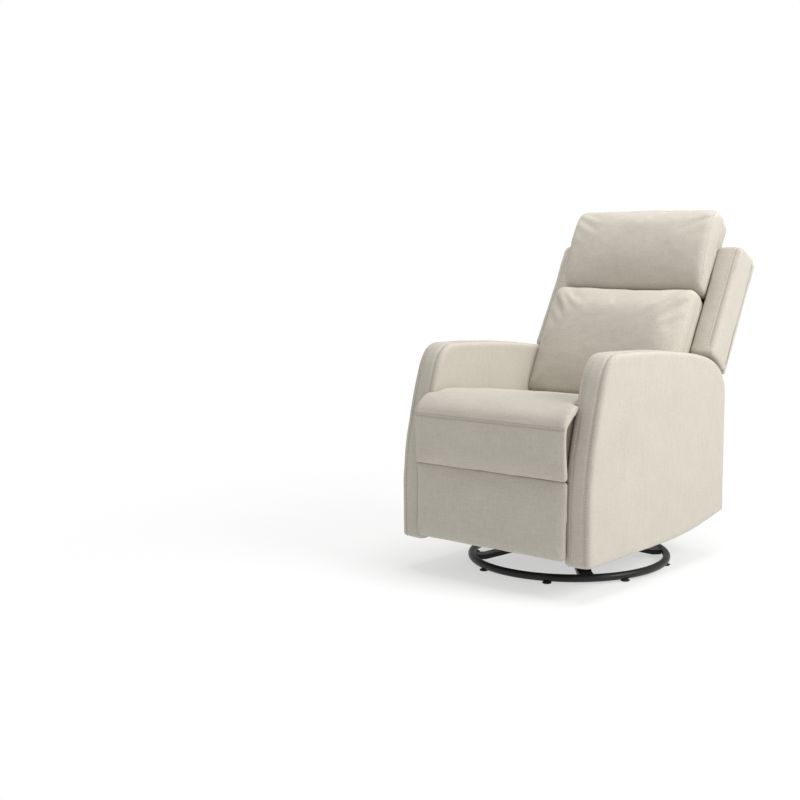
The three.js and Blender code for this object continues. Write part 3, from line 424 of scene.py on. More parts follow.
arm_low, arm_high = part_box("arm_left")
swivel_low, swivel_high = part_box("swivel_bolt")
RECLINE_BEHIND_SWIVEL, RECLINE_HEIGHT = 0.150, 0.385
recline_y = (swivel_low.y + swivel_high.y) / 2 + RECLINE_BEHIND_SWIVEL
recline_z = RECLINE_HEIGHT
ARM_SEAM = 0.020                     # from each side face to the seam on the arm's edge


def curve_points(p0, p1, p2, p3, count=16):
    t = np.linspace(0, 1, count, endpoint=False)[:, None]
    p0, p1, p2, p3 = (np.array(p, float) for p in (p0, p1, p2, p3))
    return (1 - t) ** 3 * p0 + 3 * (1 - t) ** 2 * t * p1 + 3 * (1 - t) * t ** 2 * p2 + t ** 3 * p3


def cornered(corners, count=7):
    """Closed outline through (u, v, radius) corners, each rounded by a quadratic curve."""
    points = []
    for i, (u, v, radius) in enumerate(corners):
        here = np.array((u, v))
        before = np.array(corners[i - 1][:2]) - here
        after = np.array(corners[(i + 1) % len(corners)][:2]) - here
        before, after = before / np.linalg.norm(before), after / np.linalg.norm(after)
        reach = radius / math.tan(math.acos(np.clip(before @ after, -1, 1)) / 2)
        t = np.linspace(0, 1, count)[:, None]
        start, end = here + before * reach, here + after * reach
        points.append((1 - t) ** 2 * start + 2 * (1 - t) * t * here + t ** 2 * end)
    return np.vstack(points)


def rounded(before, corner, after, radius):
    """The rounding of one corner, between the points before and after it."""
    return cornered([(*before, 0.001), (*corner, radius), (*after, 0.001)])[7:14]


def even(points, step):
    """Closed outline respaced evenly and turned counter-clockwise."""
    closed = np.vstack([points, points[:1]])
    run = np.concatenate([[0], np.cumsum(np.linalg.norm(np.diff(closed, axis=0), axis=1))])
    keep = np.concatenate([[True], np.diff(run) > 1e-9])
    closed, run = closed[keep], run[keep]
    at = np.linspace(0, run[-1], max(12, round(run[-1] / step)), endpoint=False)
    out = np.stack([np.interp(at, run, closed[:, i]) for i in range(2)], 1)
    area = np.sum(out[:, 0] * np.roll(out[:, 1], -1) - np.roll(out[:, 0], -1) * out[:, 1])
    return out if area > 0 else out[::-1]


def board(left, right, bottom, top, foot_radius, top_radius, step):
    """Outline of an upright board with rounded corners."""
    return even(cornered([(left, bottom, foot_radius), (right, bottom, foot_radius),
                          (right, top, top_radius), (left, top, top_radius)]), step)


def arm_outline():
    front, rear, top = arm_low.y, arm_high.y, arm_high.z
    bottom, lift = arm_low.z, 0.040
    front_foot = rounded((front + 0.2, bottom), (front, bottom), (front, bottom + 0.2), 0.009)
    rear_foot = rounded((rear, bottom + 0.3), (rear, bottom + lift), (rear - 0.10, bottom + 0.020), 0.009)
    under = curve_points((rear - 0.015, bottom + 0.0375), (rear - 0.100, bottom + 0.018),
                         (rear - 0.220, bottom + 0.004), (rear - 0.310, bottom))
    parts = [
        rear_foot, under, front_foot,
        curve_points((front, bottom + 0.147), (front, top - 0.301), (front + 0.030, top - 0.191),
                     (front + 0.064, top - 0.081), 24),
        curve_points((front + 0.064, top - 0.081), (front + 0.075, top - 0.045),
                     (front + 0.095, top), (front + 0.140, top), 16),
        curve_points((front + 0.140, top), (front + 0.260, top), (rear - 0.330, top - 0.008),
                     (rear - 0.240, top - 0.020), 20),
        curve_points((rear - 0.240, top - 0.020), (rear - 0.100, top - 0.0365), (rear, top - 0.056),
                     (rear, top - 0.166), 28),
    ]
    return even(np.vstack(parts), 0.0065)


def inset_ring(ring, inset):
    """The outline moved inwards, along lines that meet on its middle axis."""
    tangent = np.roll(ring, -1, 0) - np.roll(ring, 1, 0)
    tangent /= np.linalg.norm(tangent, axis=1)[:, None]
    inward = np.stack([-tangent[:, 1], tangent[:, 0]], 1)
    low, high = ring.min(0), ring.max(0)
    half = (high - low) / 2
    axis = np.array((1.0, 0.0)) if half[0] > half[1] else np.array((0.0, 1.0))
    spread = half.max() - half.min()
    along = np.clip((ring - (low + high) / 2) @ axis, -spread, spread)
    way = (low + high) / 2 + along[:, None] * axis - ring
    way /= np.linalg.norm(way, axis=1)[:, None]
    lean = np.clip((way * inward).sum(1), 0.6, 1)
    return ring + way * (inset / lean[:, None])


def inside(points, ring):
    u, v = points[:, 0][:, None], points[:, 1][:, None]
    a, b = ring, np.roll(ring, -1, 0)
    cross = (a[:, 1] > v) != (b[:, 1] > v)
    where = (b[:, 0] - a[:, 0]) * (v - a[:, 1]) / (b[:, 1] - a[:, 1] + 1e-12) + a[:, 0]
    return (cross & (u < where)).sum(1) % 2 == 1


def apart(points, ring):
    return np.sqrt(((points[:, None, :] - ring[None]) ** 2).sum(2).min(1))


def panel_mesh(ring, spacing, hole=None):
    """Points and triangles that fill an outline, with a hole left open where one is given."""
    low, high = ring.min(0), ring.max(0)
    u, v = np.meshgrid(np.arange(low[0], high[0], spacing), np.arange(low[1], high[1], spacing * 0.87))
    u = u + (np.arange(u.shape[0]) % 2)[:, None] * spacing / 2
    grid = np.stack([u.ravel(), v.ravel()], 1)
    grid = grid[inside(grid, ring)]
    grid = grid[apart(grid, ring) > spacing * 0.55]
    count = len(ring)
    edges = [(i, (i + 1) % count) for i in range(count)]
    fixed = ring
    if hole is not None:
        grid = grid[apart(grid, hole) > spacing * 0.4]
        fixed = np.vstack([ring, hole])
        edges += [(count + i, count + (i + 1) % len(hole)) for i in range(len(hole))]
    every = np.vstack([fixed, grid])
    made = geometry.delaunay_2d_cdt([Vector(p) for p in every], edges, [list(range(count))], 1, 1e-7)
    points = np.array([tuple(p) for p in made[0]])
    triangles = np.array(made[2])
    middle = points[triangles].mean(1)
    in_hole = inside(middle, hole) if hole is not None else np.zeros(len(middle), bool)
    return points, triangles, in_hole


def stuffed(name, outline, rows, place, spacing=0.014, pocket=None):
    """Closed skin of a padded slab. rows steps (inset, t) from one face to the other, and
    place(u, v, t, inset) gives the points. A pocket is (outline, t step) sunk in the last face."""
    vertices, faces = [], []
    count = len(outline)
    for inset, t in rows:
        ring = inset_ring(outline, inset)
        vertices.append(place(ring[:, 0], ring[:, 1], np.full(count, t), np.full(count, inset)))
    for row in range(len(rows) - 1):
        a, b = row * count, (row + 1) * count
        for i in range(count):
            j = (i + 1) % count
            faces.append((a + i, a + j, b + j, b + i))
    total = count * len(rows)
    for last, (inset, t) in ((False, rows[0]), (True, rows[-1])):
        ring = inset_ring(outline, inset)
        hole = pocket[0] if pocket and last else None
        points, triangles, in_hole = panel_mesh(ring, spacing, hole)
        depth = apart(points, outline)
        flat = np.full(len(points), t)
        vertices.append(place(points[:, 0], points[:, 1], flat, depth))
        faces += [tuple(total + k for k in tri) for tri in triangles[~in_hole]]
        total += len(points)
        if in_hole.any():
            vertices.append(place(points[:, 0], points[:, 1], flat + pocket[1], depth * 0))
            faces += [tuple(total + k for k in tri) for tri in triangles[in_hole]]
            rim = [int(np.argmin(((points - p) ** 2).sum(1))) for p in hole]
            above, below = total - len(points), total
            faces += [(above + rim[i - 1], above + rim[i], below + rim[i], below + rim[i - 1])
                      for i in range(len(rim))]
            total += len(points)
    mesh = bpy.data.meshes.new(name)
    mesh.from_pydata(np.vstack(vertices).tolist(), [], faces)
    piece = bpy.data.objects.new(name, mesh)
    scene.collection.objects.link(piece)
    return dress(outward(piece, 2e-5), linen)


def coordinates(mesh, kind="co"):
    out = np.empty(len(mesh.vertices) * 3)
    mesh.vertices.foreach_get(kind, out)
    return out.reshape(-1, 3)


def reshape(mesh, points):
    mesh.vertices.foreach_set("co", np.ascontiguousarray(points, float).ravel())
    mesh.update()


def rippled(piece, size, height, seed):
    """Slow unevenness of hand-stretched cover over foam."""
    mesh = piece.data
    at = coordinates(mesh)
    swell = np.array([noise.noise(Vector(p) / size + Vector((seed, 0, 0)))
                      + 0.35 * noise.noise(Vector(p) / size * 2.7 + Vector((0, seed, 0))) for p in at])
    reshape(mesh, at + coordinates(mesh, "normal") * (swell * height)[:, None])


def on_surface(surface, point, lift=0.0):
    spot, normal, _, _ = surface.find_nearest(Vector(point))
    return spot + normal * lift, normal


def surface_of(piece):
    mesh = piece.data
    mesh.calc_loop_triangles()
    return BVHTree.FromPolygons([tuple(v.co) for v in mesh.vertices],
                                [tuple(t.vertices) for t in mesh.loop_triangles])


def respaced(path, step):
    path = np.array([tuple(p) for p in path])
    run = np.concatenate([[0], np.cumsum(np.linalg.norm(np.diff(path, axis=0), axis=1))])
    at = np.linspace(0, run[-1], max(2, round(run[-1] / step) + 1))
    return np.stack([np.interp(at, run, path[:, i]) for i in range(3)], 1)


stitch_lines = {}
SEAM_STEP, PUCKER_PITCH = 0.004, 0.016


def seam(piece, path, body, depth=0.0022, width=0.0030, rows=(-0.0048, 0.0048)):
    """Sinks a sewn seam into a cover along a path, and keeps the lines of its topstitching."""
    mesh = piece.data
    surface = surface_of(piece)
    path = respaced(path, SEAM_STEP)
    spots = [on_surface(surface, p) for p in path]
    tree = KDTree(len(spots))
    for i, (spot, _) in enumerate(spots):
        tree.insert(spot, i)
    tree.balance()
    at = coordinates(mesh)
    way = coordinates(mesh, "normal")
    reach = width * 4
    low, high = path.min(0) - 0.03, path.max(0) + 0.03
    near = np.nonzero(((at > low) & (at < high)).all(1))[0]
    for k in near:
        _, i, gap = tree.find(at[k])
        if gap < reach:
            pucker = 1 + 0.22 * math.sin(i * SEAM_STEP / PUCKER_PITCH * 2 * math.pi)
            sink = depth * math.exp(-(gap / width) ** 2) - 0.16 * depth * pucker * math.exp(
                -((gap - 2.2 * width) / (1.2 * width)) ** 2)
            at[k] -= way[k] * sink
    reshape(mesh, at)
    surface = surface_of(piece)
    for side in rows:
        line = []
        for i, (spot, normal) in enumerate(spots):
            ahead = spots[min(i + 1, len(spots) - 1)][0] - spots[max(i - 1, 0)][0]
            across = ahead.cross(normal)
            if across.length > 1e-9:
                line.append(on_surface(surface, spot + across.normalized() * side, 0.0001)[0])
        stitch_lines.setdefault(body, []).append(line)


ARM_ROUND = 0.011
arm_thick = arm_high.x - arm_low.x


def quarter(radius):
    """Rounded corner of a section, as (inset, t) steps from a face to an edge."""
    return [(radius * (1 - math.sin(a)), radius * (1 - math.cos(a)))
            for a in np.radians(np.linspace(0, 90, 7))]


def slab_rows(thick, edge, seams=(), flat=0.024, bulge=0.0018):
    """Section of a slab's edge: flat face, rounded corner, crowned band, rounded corner."""
    first = [(flat, 0.0), (edge + 0.006, 0.0)] + quarter(edge)[1:]
    middle = thick - 2 * edge
    steps = max(3, int(middle / 0.0045))
    band = [(-bulge * math.sin(math.pi * k / steps), edge + middle * k / steps) for k in range(1, steps)]
    for s in seams:
        band += [(-bulge * math.sin(math.pi * (s + d - edge) / middle), s + d)
                 for d in (-0.0015, 0.0, 0.0015)]
    band.sort(key=lambda row: row[1])
    band = [row for i, row in enumerate(band) if i == 0 or row[1] - band[i - 1][1] > 0.0009]
    return first + band + [(inset, thick - t) for inset, t in reversed(first)]


arm_ring = arm_outline()
arm_rows = slab_rows(arm_thick, ARM_ROUND, (ARM_SEAM, arm_thick - ARM_SEAM))


def crown(inset, reach, rise):
    """Rise of a stuffed face at a distance from its edge, full from the reach on."""
    return rise * np.sin(np.clip(inset / reach, 0, 1) * math.pi / 2)


ARM_INNER_SHARE = 0.35               # the face beside the seat swells less than the outer one


def arm_place(u, v, t, inset):
    outer = np.clip(t / arm_thick, 0, 1)
    swell = crown(inset, 0.16, 0.0045) * np.where(outer > 0.5, 1.0, ARM_INNER_SHARE)
    return np.stack([arm_low.x + t + swell * (outer - 0.5) * 2, u, v], 1)


cup_low, cup_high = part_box("release_cup")
CUP_GAP, CUP_CORNER = 0.0005, 0.0265
pocket_ring = board(cup_low.y - CUP_GAP, cup_high.y + CUP_GAP, cup_low.z - CUP_GAP, cup_high.z + CUP_GAP,
                    CUP_CORNER, CUP_CORNER, 0.006)


def band_path(outline, t, place, start, end, inset=0.0):
    """Part of the ring at t, from the point nearest start on to the one nearest end."""
    ring = inset_ring(outline, inset)
    a = int(np.argmin(((ring - np.array(start)) ** 2).sum(1)))
    b = int(np.argmin(((ring - np.array(end)) ** 2).sum(1)))
    order = [(a + k) % len(ring) for k in range((b - a) % len(ring) + 1)]
    part = ring[order]
    return place(part[:, 0], part[:, 1], np.full(len(part), t), np.full(len(part), inset))


def mirrored(piece, lines):
    """Turns a left-hand cover, and the stitch lines on it, into the right-hand ones."""
    reshape(piece.data, coordinates(piece.data) * (-1, 1, 1))
    piece.data.flip_normals()
    return [[Vector((-p.x, p.y, p.z)) for p in line] for line in lines]


arm_front_foot = (arm_low.y, arm_low.z + 0.004)
arm_rear_foot = (arm_high.y, arm_low.z + 0.045)
for side, name in ((1, "arm_left"), (-1, "arm_right")):
    arm = stuffed(f"{name}_cover", arm_ring, arm_rows, arm_place, 0.015,
                  (pocket_ring, -(cup_high.x - cup_low.x) - 0.001) if side < 0 else None)
    rippled(arm, 0.085, 0.0011, 3.0)
    for t in (ARM_SEAM, arm_thick - ARM_SEAM):
        # the ring runs counter-clockwise, from the rear foot over the top to the front foot
        seam(arm, band_path(arm_ring, t, arm_place, arm_rear_foot, arm_front_foot), "arm",
             rows=(0.0046 if t == ARM_SEAM else -0.0046,))
    lines = stitch_lines.pop("arm")
    stitch_lines.setdefault("seat", []).extend(mirrored(arm, lines) if side < 0 else lines)
    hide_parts(name)
    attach(arm, "seat")

# Topstitching: linen thread, laid as short sunk stitches. One row runs beside each seam of the
# arms and cushions, and one on each side of the seams of the wings and the outside back.
stitch_tree, given, out = tree_for(
    "topstitch_rows", ("Stitch Pitch", "NodeSocketFloat"), ("Stitch Length", "NodeSocketFloat"),
    ("Thread Radius", "NodeSocketFloat"), ("Seed", "NodeSocketInt"), ("Material", "NodeSocketMaterial"))
rows = node(stitch_tree, "GeometryNodeMeshToCurve", {0: given["Geometry"]})
spaced = node(stitch_tree, "GeometryNodeResampleCurve", {
    "Curve": rows.outputs[0], "Length": given["Stitch Pitch"]}, mode="LENGTH")
holes = node(stitch_tree, "GeometryNodeCurveToPoints", {0: spaced.outputs[0]}, mode="EVALUATED")
bead = node(stitch_tree, "GeometryNodeMeshUVSphere", {"Segments": 6, "Rings": 5, "Radius": 1.0})
form = node(stitch_tree, "ShaderNodeCombineXYZ", {
    "X": given["Thread Radius"], "Y": given["Thread Radius"],
    "Z": math_of(stitch_tree, "MULTIPLY", given["Stitch Length"], 0.5)})
stitch = node(stitch_tree, "GeometryNodeTransform", {
    "Geometry": bead.outputs[0], "Scale": form.outputs[0]})
wobble = node(stitch_tree, "FunctionNodeRandomValue", {
    0: (-0.09, -0.09, 0.0), 1: (0.09, 0.09, 0.0), "Seed": given["Seed"]}, data_type="FLOAT_VECTOR")
turn = node(stitch_tree, "FunctionNodeEulerToRotation", {0: wobble.outputs[0]})
lain = node(stitch_tree, "FunctionNodeRotateRotation", {
    0: holes.outputs["Rotation"], 1: turn.outputs[0]}, rotation_space="LOCAL")
sewn = node(stitch_tree, "GeometryNodeInstanceOnPoints", {
    "Points": holes.outputs[0], "Instance": stitch.outputs[0], "Rotation": lain.outputs[0]})
ended(stitch_tree, sewn, given, out)


def sew(name, body):
    """Topstitching of every seam kept so far for this body."""
    points, edges = [], []
    for line in stitch_lines.pop(body):
        edges += [(len(points) + i, len(points) + i + 1) for i in range(len(line) - 1)]
        points += line
    made = grown(name, stitch_tree, dot_mesh(name, points, edges), sewing_thread,
                 stitch_pitch=0.0085, stitch_length=0.0055, thread_radius=0.00085, seed=7)
    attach(made, body)


sew("arm_topstitching", "seat")

# ---------------------------------------------------------------- seat cushion
# Foam block with a fibre wrap: a crowned top that rolls over the front to a sewn seam, and
# below it a front face that laps over both arms. Hog-ringed to the plywood rails.
seat_low, seat_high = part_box("seat_cushion")
SEAT_SEAM_Z = 0.456
SEAT_TOP_Z = seat_high.z
SEAT_CREST_Y = seat_low.y + 0.105
SEAT_REAR_Z = 0.478
SEAT_DEEP = 0.128
lip_back = seat_low.y + 0.016
front_rail_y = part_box("seat_rail_front")[0].y
seat_half = arm_low.x - 0.006


def edge_rows(thick, front_round, rear_round, flat):
    """Section of a cushion's boxing: front face, its round, the side, the rear round."""
    between = thick - front_round - rear_round
    steps = max(2, int(between / 0.008))
    front = [(flat, 0.0)] + quarter(front_round)
    side = [(0.0, front_round + between * k / steps) for k in range(1, steps)]
    rear = [(inset, thick - t) for inset, t in quarter(rear_round)[::-1]]
    return front + side + rear + [(rear_round + 0.008, thick)]


FILL_FRAMES = 20


def filled(piece, held, cap, voxel=0.0055, pressure=4.0):
    """Fills a cover: a fine even skin, blown up by cloth pressure where it isn't held, by no
    more than the cap, then eased and made finer."""
    skin = piece.modifiers.new("skin", "REMESH")
    skin.mode = "VOXEL"
    skin.voxel_size = voxel
    baked(piece)
    soften = piece.modifiers.new("soften", "SMOOTH")
    soften.factor, soften.iterations = 0.5, 3
    baked(piece)
    rest = coordinates(piece.data)
    group = piece.vertex_groups.new(name="held")
    weights = held(rest)
    for k in np.nonzero(weights > 0.01)[0]:
        group.add([int(k)], float(weights[k]), "REPLACE")
    cover = piece.modifiers.new("cover", "CLOTH")
    cloth = cover.settings
    cloth.quality = 4
    cloth.mass = 0.25
    cloth.tension_stiffness = cloth.compression_stiffness = 18
    cloth.shear_stiffness = 6
    cloth.bending_stiffness = 5.0
    cloth.use_pressure = True
    cloth.uniform_pressure_force = pressure
    cloth.vertex_group_mass = "held"
    cloth.effector_weights.gravity = 0
    cover.point_cache.frame_start, cover.point_cache.frame_end = 1, FILL_FRAMES
    for frame_number in range(1, FILL_FRAMES + 1):
        scene.frame_set(frame_number)
        bpy.context.evaluated_depsgraph_get()
    depsgraph = bpy.context.evaluated_depsgraph_get()
    blown = coordinates(piece.evaluated_get(depsgraph).data)
    move = blown - rest
    size = np.linalg.norm(move, axis=1)[:, None] + 1e-9
    limited = cap * np.tanh(size / cap) / size
    piece.modifiers.clear()
    piece.vertex_groups.clear()
    reshape(piece.data, rest + move * limited)
    scene.frame_set(1)
    ease = piece.modifiers.new("ease", "SMOOTH")
    ease.factor, ease.iterations = 0.5, 6
    fine = piece.modifiers.new("fine", "SUBSURF")
    fine.levels = fine.render_levels = 1
    baked(piece)
    dress(piece, linen)


def joined(name, *pieces):
    """One mesh of several closed skins that a remesh will unite."""
    work = bmesh.new()
    for piece in pieces:
        work.from_mesh(piece.data)
        bpy.data.objects.remove(piece)
    mesh = bpy.data.meshes.new(name)
    work.to_mesh(mesh)
    work.free()
    made = bpy.data.objects.new(name, mesh)
    scene.collection.objects.link(made)
    return made


def across(x0):
    return lambda u, v, t, inset: np.stack([x0 + t, u, v], 1)


crest_z = SEAT_TOP_Z - 0.004         # the filling raises it to the top
roll = curve_points((seat_low.y + 0.003, SEAT_SEAM_Z), (seat_low.y + 0.005, SEAT_SEAM_Z + 0.038),
                    (SEAT_CREST_Y - 0.040, crest_z), (SEAT_CREST_Y, crest_z), 14)
seat_back_y = seat_high.y - 0.002
under_front = SEAT_TOP_Z - SEAT_DEEP
seat_ring = even(np.vstack([
    roll,
    [(SEAT_CREST_Y, crest_z), (seat_back_y - 0.012, SEAT_REAR_Z - 0.003),
     (seat_back_y, SEAT_REAR_Z - 0.014), (seat_back_y, SEAT_REAR_Z - SEAT_DEEP + 0.004),
     (front_rail_y - 0.001, under_front + 0.006), (front_rail_y - 0.001, seat_low.z + 0.003),
     (seat_low.y + 0.014, seat_low.z + 0.003)]]), 0.007)
seat_body = stuffed("seat_body", seat_ring, edge_rows(2 * seat_half, 0.014, 0.014, 0.020),
                    across(-seat_half), 0.02)
lip_ring = even(cornered([
    (seat_low.y + 0.004, SEAT_SEAM_Z - 0.002, 0.005), (seat_low.y + 0.006, seat_low.z - 0.0025, 0.004),
    (lip_back + 0.009, seat_low.z - 0.0025, 0.004), (lip_back, SEAT_SEAM_Z + 0.012, 0.003)]), 0.005)
lip_half = seat_high.x - 0.002
seat_lip = stuffed("seat_lip", lip_ring, edge_rows(2 * lip_half, 0.006, 0.006, 0.007),
                   across(-lip_half), 0.02)
ear_top = roll[:11]
ear_ring = even(np.vstack([ear_top, ear_top[::-1] + (0.011, -0.012)]), 0.005)
seat_ears = stuffed("seat_ears", ear_ring, edge_rows(2 * lip_half, 0.006, 0.006, 0.006),
                    across(-lip_half), 0.02)
seat = joined("seat_cushion_cover", seat_body, seat_lip, seat_ears)


def seat_held(at):
    x, y, z = np.abs(at[:, 0]), at[:, 1], at[:, 2]
    top = SEAT_TOP_Z - (y - SEAT_CREST_Y) * (SEAT_TOP_Z - SEAT_REAR_Z) / (seat_back_y - SEAT_CREST_Y)
    under = (z < top - 0.075) & (y > front_rail_y - 0.008)
    rear = (y > seat_back_y - 0.012) & (z < SEAT_REAR_Z - 0.025)
    sewn = np.exp(-((z - SEAT_SEAM_Z) / 0.006) ** 2) * (y < seat_low.y + 0.03)
    tuck = (z < seat_low.z + 0.004) * (y > seat_low.y + 0.012) | ((y > lip_back - 0.006) & (z < SEAT_SEAM_Z))
    side = np.exp(-((x - seat_half + 0.004) / 0.010) ** 2) * 0.55 * (y > lip_back)
    ends = (x > lip_half - 0.006) * 0.8
    return np.clip(np.maximum.reduce([under * 1.0, rear * 1.0, sewn, tuck * 1.0, side, ends]), 0, 1)


filled(seat, seat_held, 0.012)
rippled(seat, 0.07, 0.0016, 11.0)
seam(seat, [(x, seat_low.y, SEAT_SEAM_Z) for x in np.linspace(-lip_half + 0.006, lip_half - 0.006, 60)],
     "seat", 0.0034, 0.0034, (-0.0050,))
for side in (-1, 1):
    edge = side * (seat_half - 0.010)
    top_line = [(edge, y, SEAT_TOP_Z - (y - SEAT_CREST_Y) * 0.12) for y in np.linspace(
        SEAT_CREST_Y + 0.01, seat_back_y - 0.02, 30)]
    seam(seat, top_line, "seat", 0.0026, 0.0030, (-0.0045,) if side > 0 else (0.0045,))
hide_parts("seat_cushion")
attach(seat, "seat")
sew("seat_topstitching", "seat")

# Thin sheets, one at each end, close the wedge between the lapped front face and the leaning
# front of the arm. Their dark colour is painted shade for the shadow inside that recess.
# Painted shade: a dark brown-grey that matches linen in deep shadow, not a cloth of the chair's own.
painted_shade_cloth, tree, skin = finish_of("dark_lining", (0.14, 0.12, 0.10), 0.95)
shaded(tree, skin, speckled(tree, 260, 2), (0.105, 0.090, 0.072), (0.180, 0.156, 0.128))
bumped(tree, skin, speckled(tree, 1.0, 2, (1100, 1100, 1100)), 0.3, 0.0003)
SHADE_SHEET_THICK = 0.0018
SHADE_SHEET_LOW, SHADE_SHEET_HIGH = 0.35, 0.50
arm_y, arm_z = arm_ring.T
arm_front_line = arm_ring[(arm_y < arm_low.y + 0.06) & (arm_z > SHADE_SHEET_LOW) & (arm_z < SHADE_SHEET_HIGH)]
arm_front_line = arm_front_line[np.argsort(arm_front_line[:, 1])] - (0.0015, 0)
shade_sheet_ring = even(np.vstack([
    arm_front_line, [(lip_back + 0.020, SEAT_SEAM_Z + 0.026), (lip_back + 0.004, SEAT_SEAM_Z),
                     (lip_back + 0.010, SHADE_SHEET_LOW)]]), 0.006)
for side, name in ((1, "front_filler_left"), (-1, "front_filler_right")):
    start = side * (arm_low.x + 0.0012) - (SHADE_SHEET_THICK if side < 0 else 0)
    shade_sheet = stuffed(name, shade_sheet_ring, [(0.0, 0.0), (0.0, SHADE_SHEET_THICK)], across(start), 0.02)
    dress(shade_sheet, painted_shade_cloth)
    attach(shade_sheet, "seat")

# ---------------------------------------------------------------- legrest
# Padded panel stapled round a plywood board: soft front with pulled-in ends, turned under
# at the bottom, with the lower corners cut to a curve.
leg_low, leg_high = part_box("legrest_pad")
LEG_LEAN = 0.010
LEG_SET_BACK = 0.003                 # room for the filling in front
leg_deep = leg_high.y - leg_low.y - LEG_SET_BACK
leg_half = leg_high.x - 0.002


def leg_place(u, v, t, inset):
    lean = LEG_LEAN * (v - leg_low.z) / (leg_high.z - leg_low.z)
    front = leg_low.y + LEG_SET_BACK + lean
    return np.stack([u, front + (leg_high.y - front) * np.clip(t / leg_deep, 0, 1), v], 1)


leg_ring = even(cornered([
    (-leg_half + 0.006, leg_low.z + 0.002, 0.022), (leg_half - 0.003, leg_low.z + 0.002, 0.012),
    (leg_half, leg_high.z + 0.0027, 0.007), (-leg_half, leg_high.z + 0.0027, 0.007)]), 0.007)
legrest = stuffed("legrest_cover", leg_ring, edge_rows(leg_deep, 0.011, 0.004, 0.016), leg_place, 0.02)


def leg_held(at):
    x, y, z = np.abs(at[:, 0]), at[:, 1], at[:, 2]
    back = (y > leg_high.y - 0.006) * 1.0
    rim = np.clip(1 - np.minimum(leg_half - x, np.minimum(z - leg_low.z, leg_high.z - z)) / 0.012, 0, 1)
    return np.clip(np.maximum(back, rim * 0.6), 0, 1)


filled(legrest, leg_held, 0.007)
rippled(legrest, 0.06, 0.0013, 5.0)
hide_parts("legrest_pad")
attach(legrest, "legrest_panel")

# ---------------------------------------------------------------- lumbar cushion
# Lower back cushion: fibre-filled over foam, deeper towards its top, with big soft corners
# and one sewn seam down each side. It hangs on the plywood back frame.
LEAN = math.radians(29)
foot_y, foot_z = recline_y - 0.034, 0.4775
LUMBAR_LAP, HEADREST_LAP = 0.015, 0.014      # how far each side laps over a wing's front edge
lumbar_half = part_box("lumbar_cushion")[1].x + LUMBAR_LAP
headrest_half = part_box("headrest_cushion")[1].x + HEADREST_LAP
CREASE = 0.377
BACK_TOP = 0.640
CUSHION_REAR = 0.099


def back_point(height, behind):
    return (foot_y + height * math.sin(LEAN) + behind * math.cos(LEAN),
            foot_z + height * math.cos(LEAN) - behind * math.sin(LEAN))


def on_back(x, height, behind):
    y, z = back_point(height, behind)
    return np.stack([x, y, z], 1)


def back_coordinates(at):
    y, z = at[:, 1] - foot_y, at[:, 2] - foot_z
    return y * math.sin(LEAN) + z * math.cos(LEAN), y * math.cos(LEAN) - z * math.sin(LEAN)


LUMBAR_LINE = ([0.0, 0.06, 0.13, 0.21, 0.28, 0.33, 0.36, 0.377],
               [-0.010, -0.018, -0.025, -0.030, -0.032, -0.029, -0.021, -0.010])
LUMBAR_DEEP = 0.128
LUMBAR_SEAM = 0.026
WAIST = 0.240                        # half width of a cushion between the wings
WAIST_START, WAIST_RUN = 0.045, 0.022


def waisted(u, behind, half):
    """Narrows a cushion from its full front width to the room between the wings."""
    tuck = np.clip((behind - WAIST_START) / WAIST_RUN, 0, 1)
    return u * (1 - (1 - WAIST / half) * tuck)


def lumbar_place(u, v, t, inset):
    front = np.interp(v, *LUMBAR_LINE)
    behind = front + (CUSHION_REAR - front) * np.clip(t / LUMBAR_DEEP, 0, 1)
    return on_back(waisted(u, behind, lumbar_half), v, behind)


lumbar_ring = board(-lumbar_half, lumbar_half, 0.004, CREASE - 0.002, 0.012, 0.036, 0.008)
lumbar = stuffed("lumbar_cover", lumbar_ring, edge_rows(LUMBAR_DEEP, 0.034, 0.008, 0.046),
                 lumbar_place, 0.02)


def lumbar_held(at):
    height, behind = back_coordinates(at)
    x = np.abs(at[:, 0])
    rear = (behind > CUSHION_REAR - 0.022) * 1.0
    foot = (height < 0.012) * 0.8
    sewn = np.exp(-((behind - LUMBAR_SEAM) / 0.007) ** 2) * (x > lumbar_half - 0.03) * 0.7
    rim = np.clip(1 - (lumbar_half - x) / 0.004, 0, 1) * 0.95
    return np.clip(np.maximum.reduce([rear, foot, sewn, rim]), 0, 1)


filled(lumbar, lumbar_held, 0.014)
rippled(lumbar, 0.075, 0.0016, 21.0)
for side in (-1, 1):
    path = [(side * (lumbar_half + 0.001), *back_point(h, LUMBAR_SEAM))
            for h in np.linspace(0.02, CREASE - 0.030, 50)]
    seam(lumbar, path, "back", 0.0030, 0.0032, (-0.0048,) if side > 0 else (0.0048,))
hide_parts("lumbar_cushion")
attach(lumbar, "back")

# ---------------------------------------------------------------- headrest cushion
# Upper back cushion: a crowned front that tucks under towards the crease, with boxed
# sides sewn at their front and rear edges.
HEADREST_LINE = ([CREASE, 0.392, 0.41, 0.44, 0.48, 0.53, 0.58, 0.615, BACK_TOP],
                 [0.030, 0.016, 0.006, -0.006, -0.016, -0.024, -0.026, -0.019, -0.004])
HEADREST_DEEP = 0.108


def headrest_place(u, v, t, inset):
    front = np.interp(v, *HEADREST_LINE)
    deep = np.clip(t / HEADREST_DEEP, 0, 1)
    upper = np.clip((v - 0.50) / (BACK_TOP - 0.50), 0, 1)
    arch = 0.009 * (1 - (u / headrest_half) ** 2) * upper
    behind = front + (CUSHION_REAR - front) * deep
    return on_back(waisted(u, behind, headrest_half), v + arch - 0.006 * deep * upper, behind)


headrest_ring = board(-headrest_half + 0.001, headrest_half - 0.001, CREASE + 0.001, BACK_TOP + 0.001,
                      0.010, 0.024, 0.008)
headrest = stuffed("headrest_cover", headrest_ring, edge_rows(HEADREST_DEEP, 0.022, 0.012, 0.030),
                   headrest_place, 0.02)


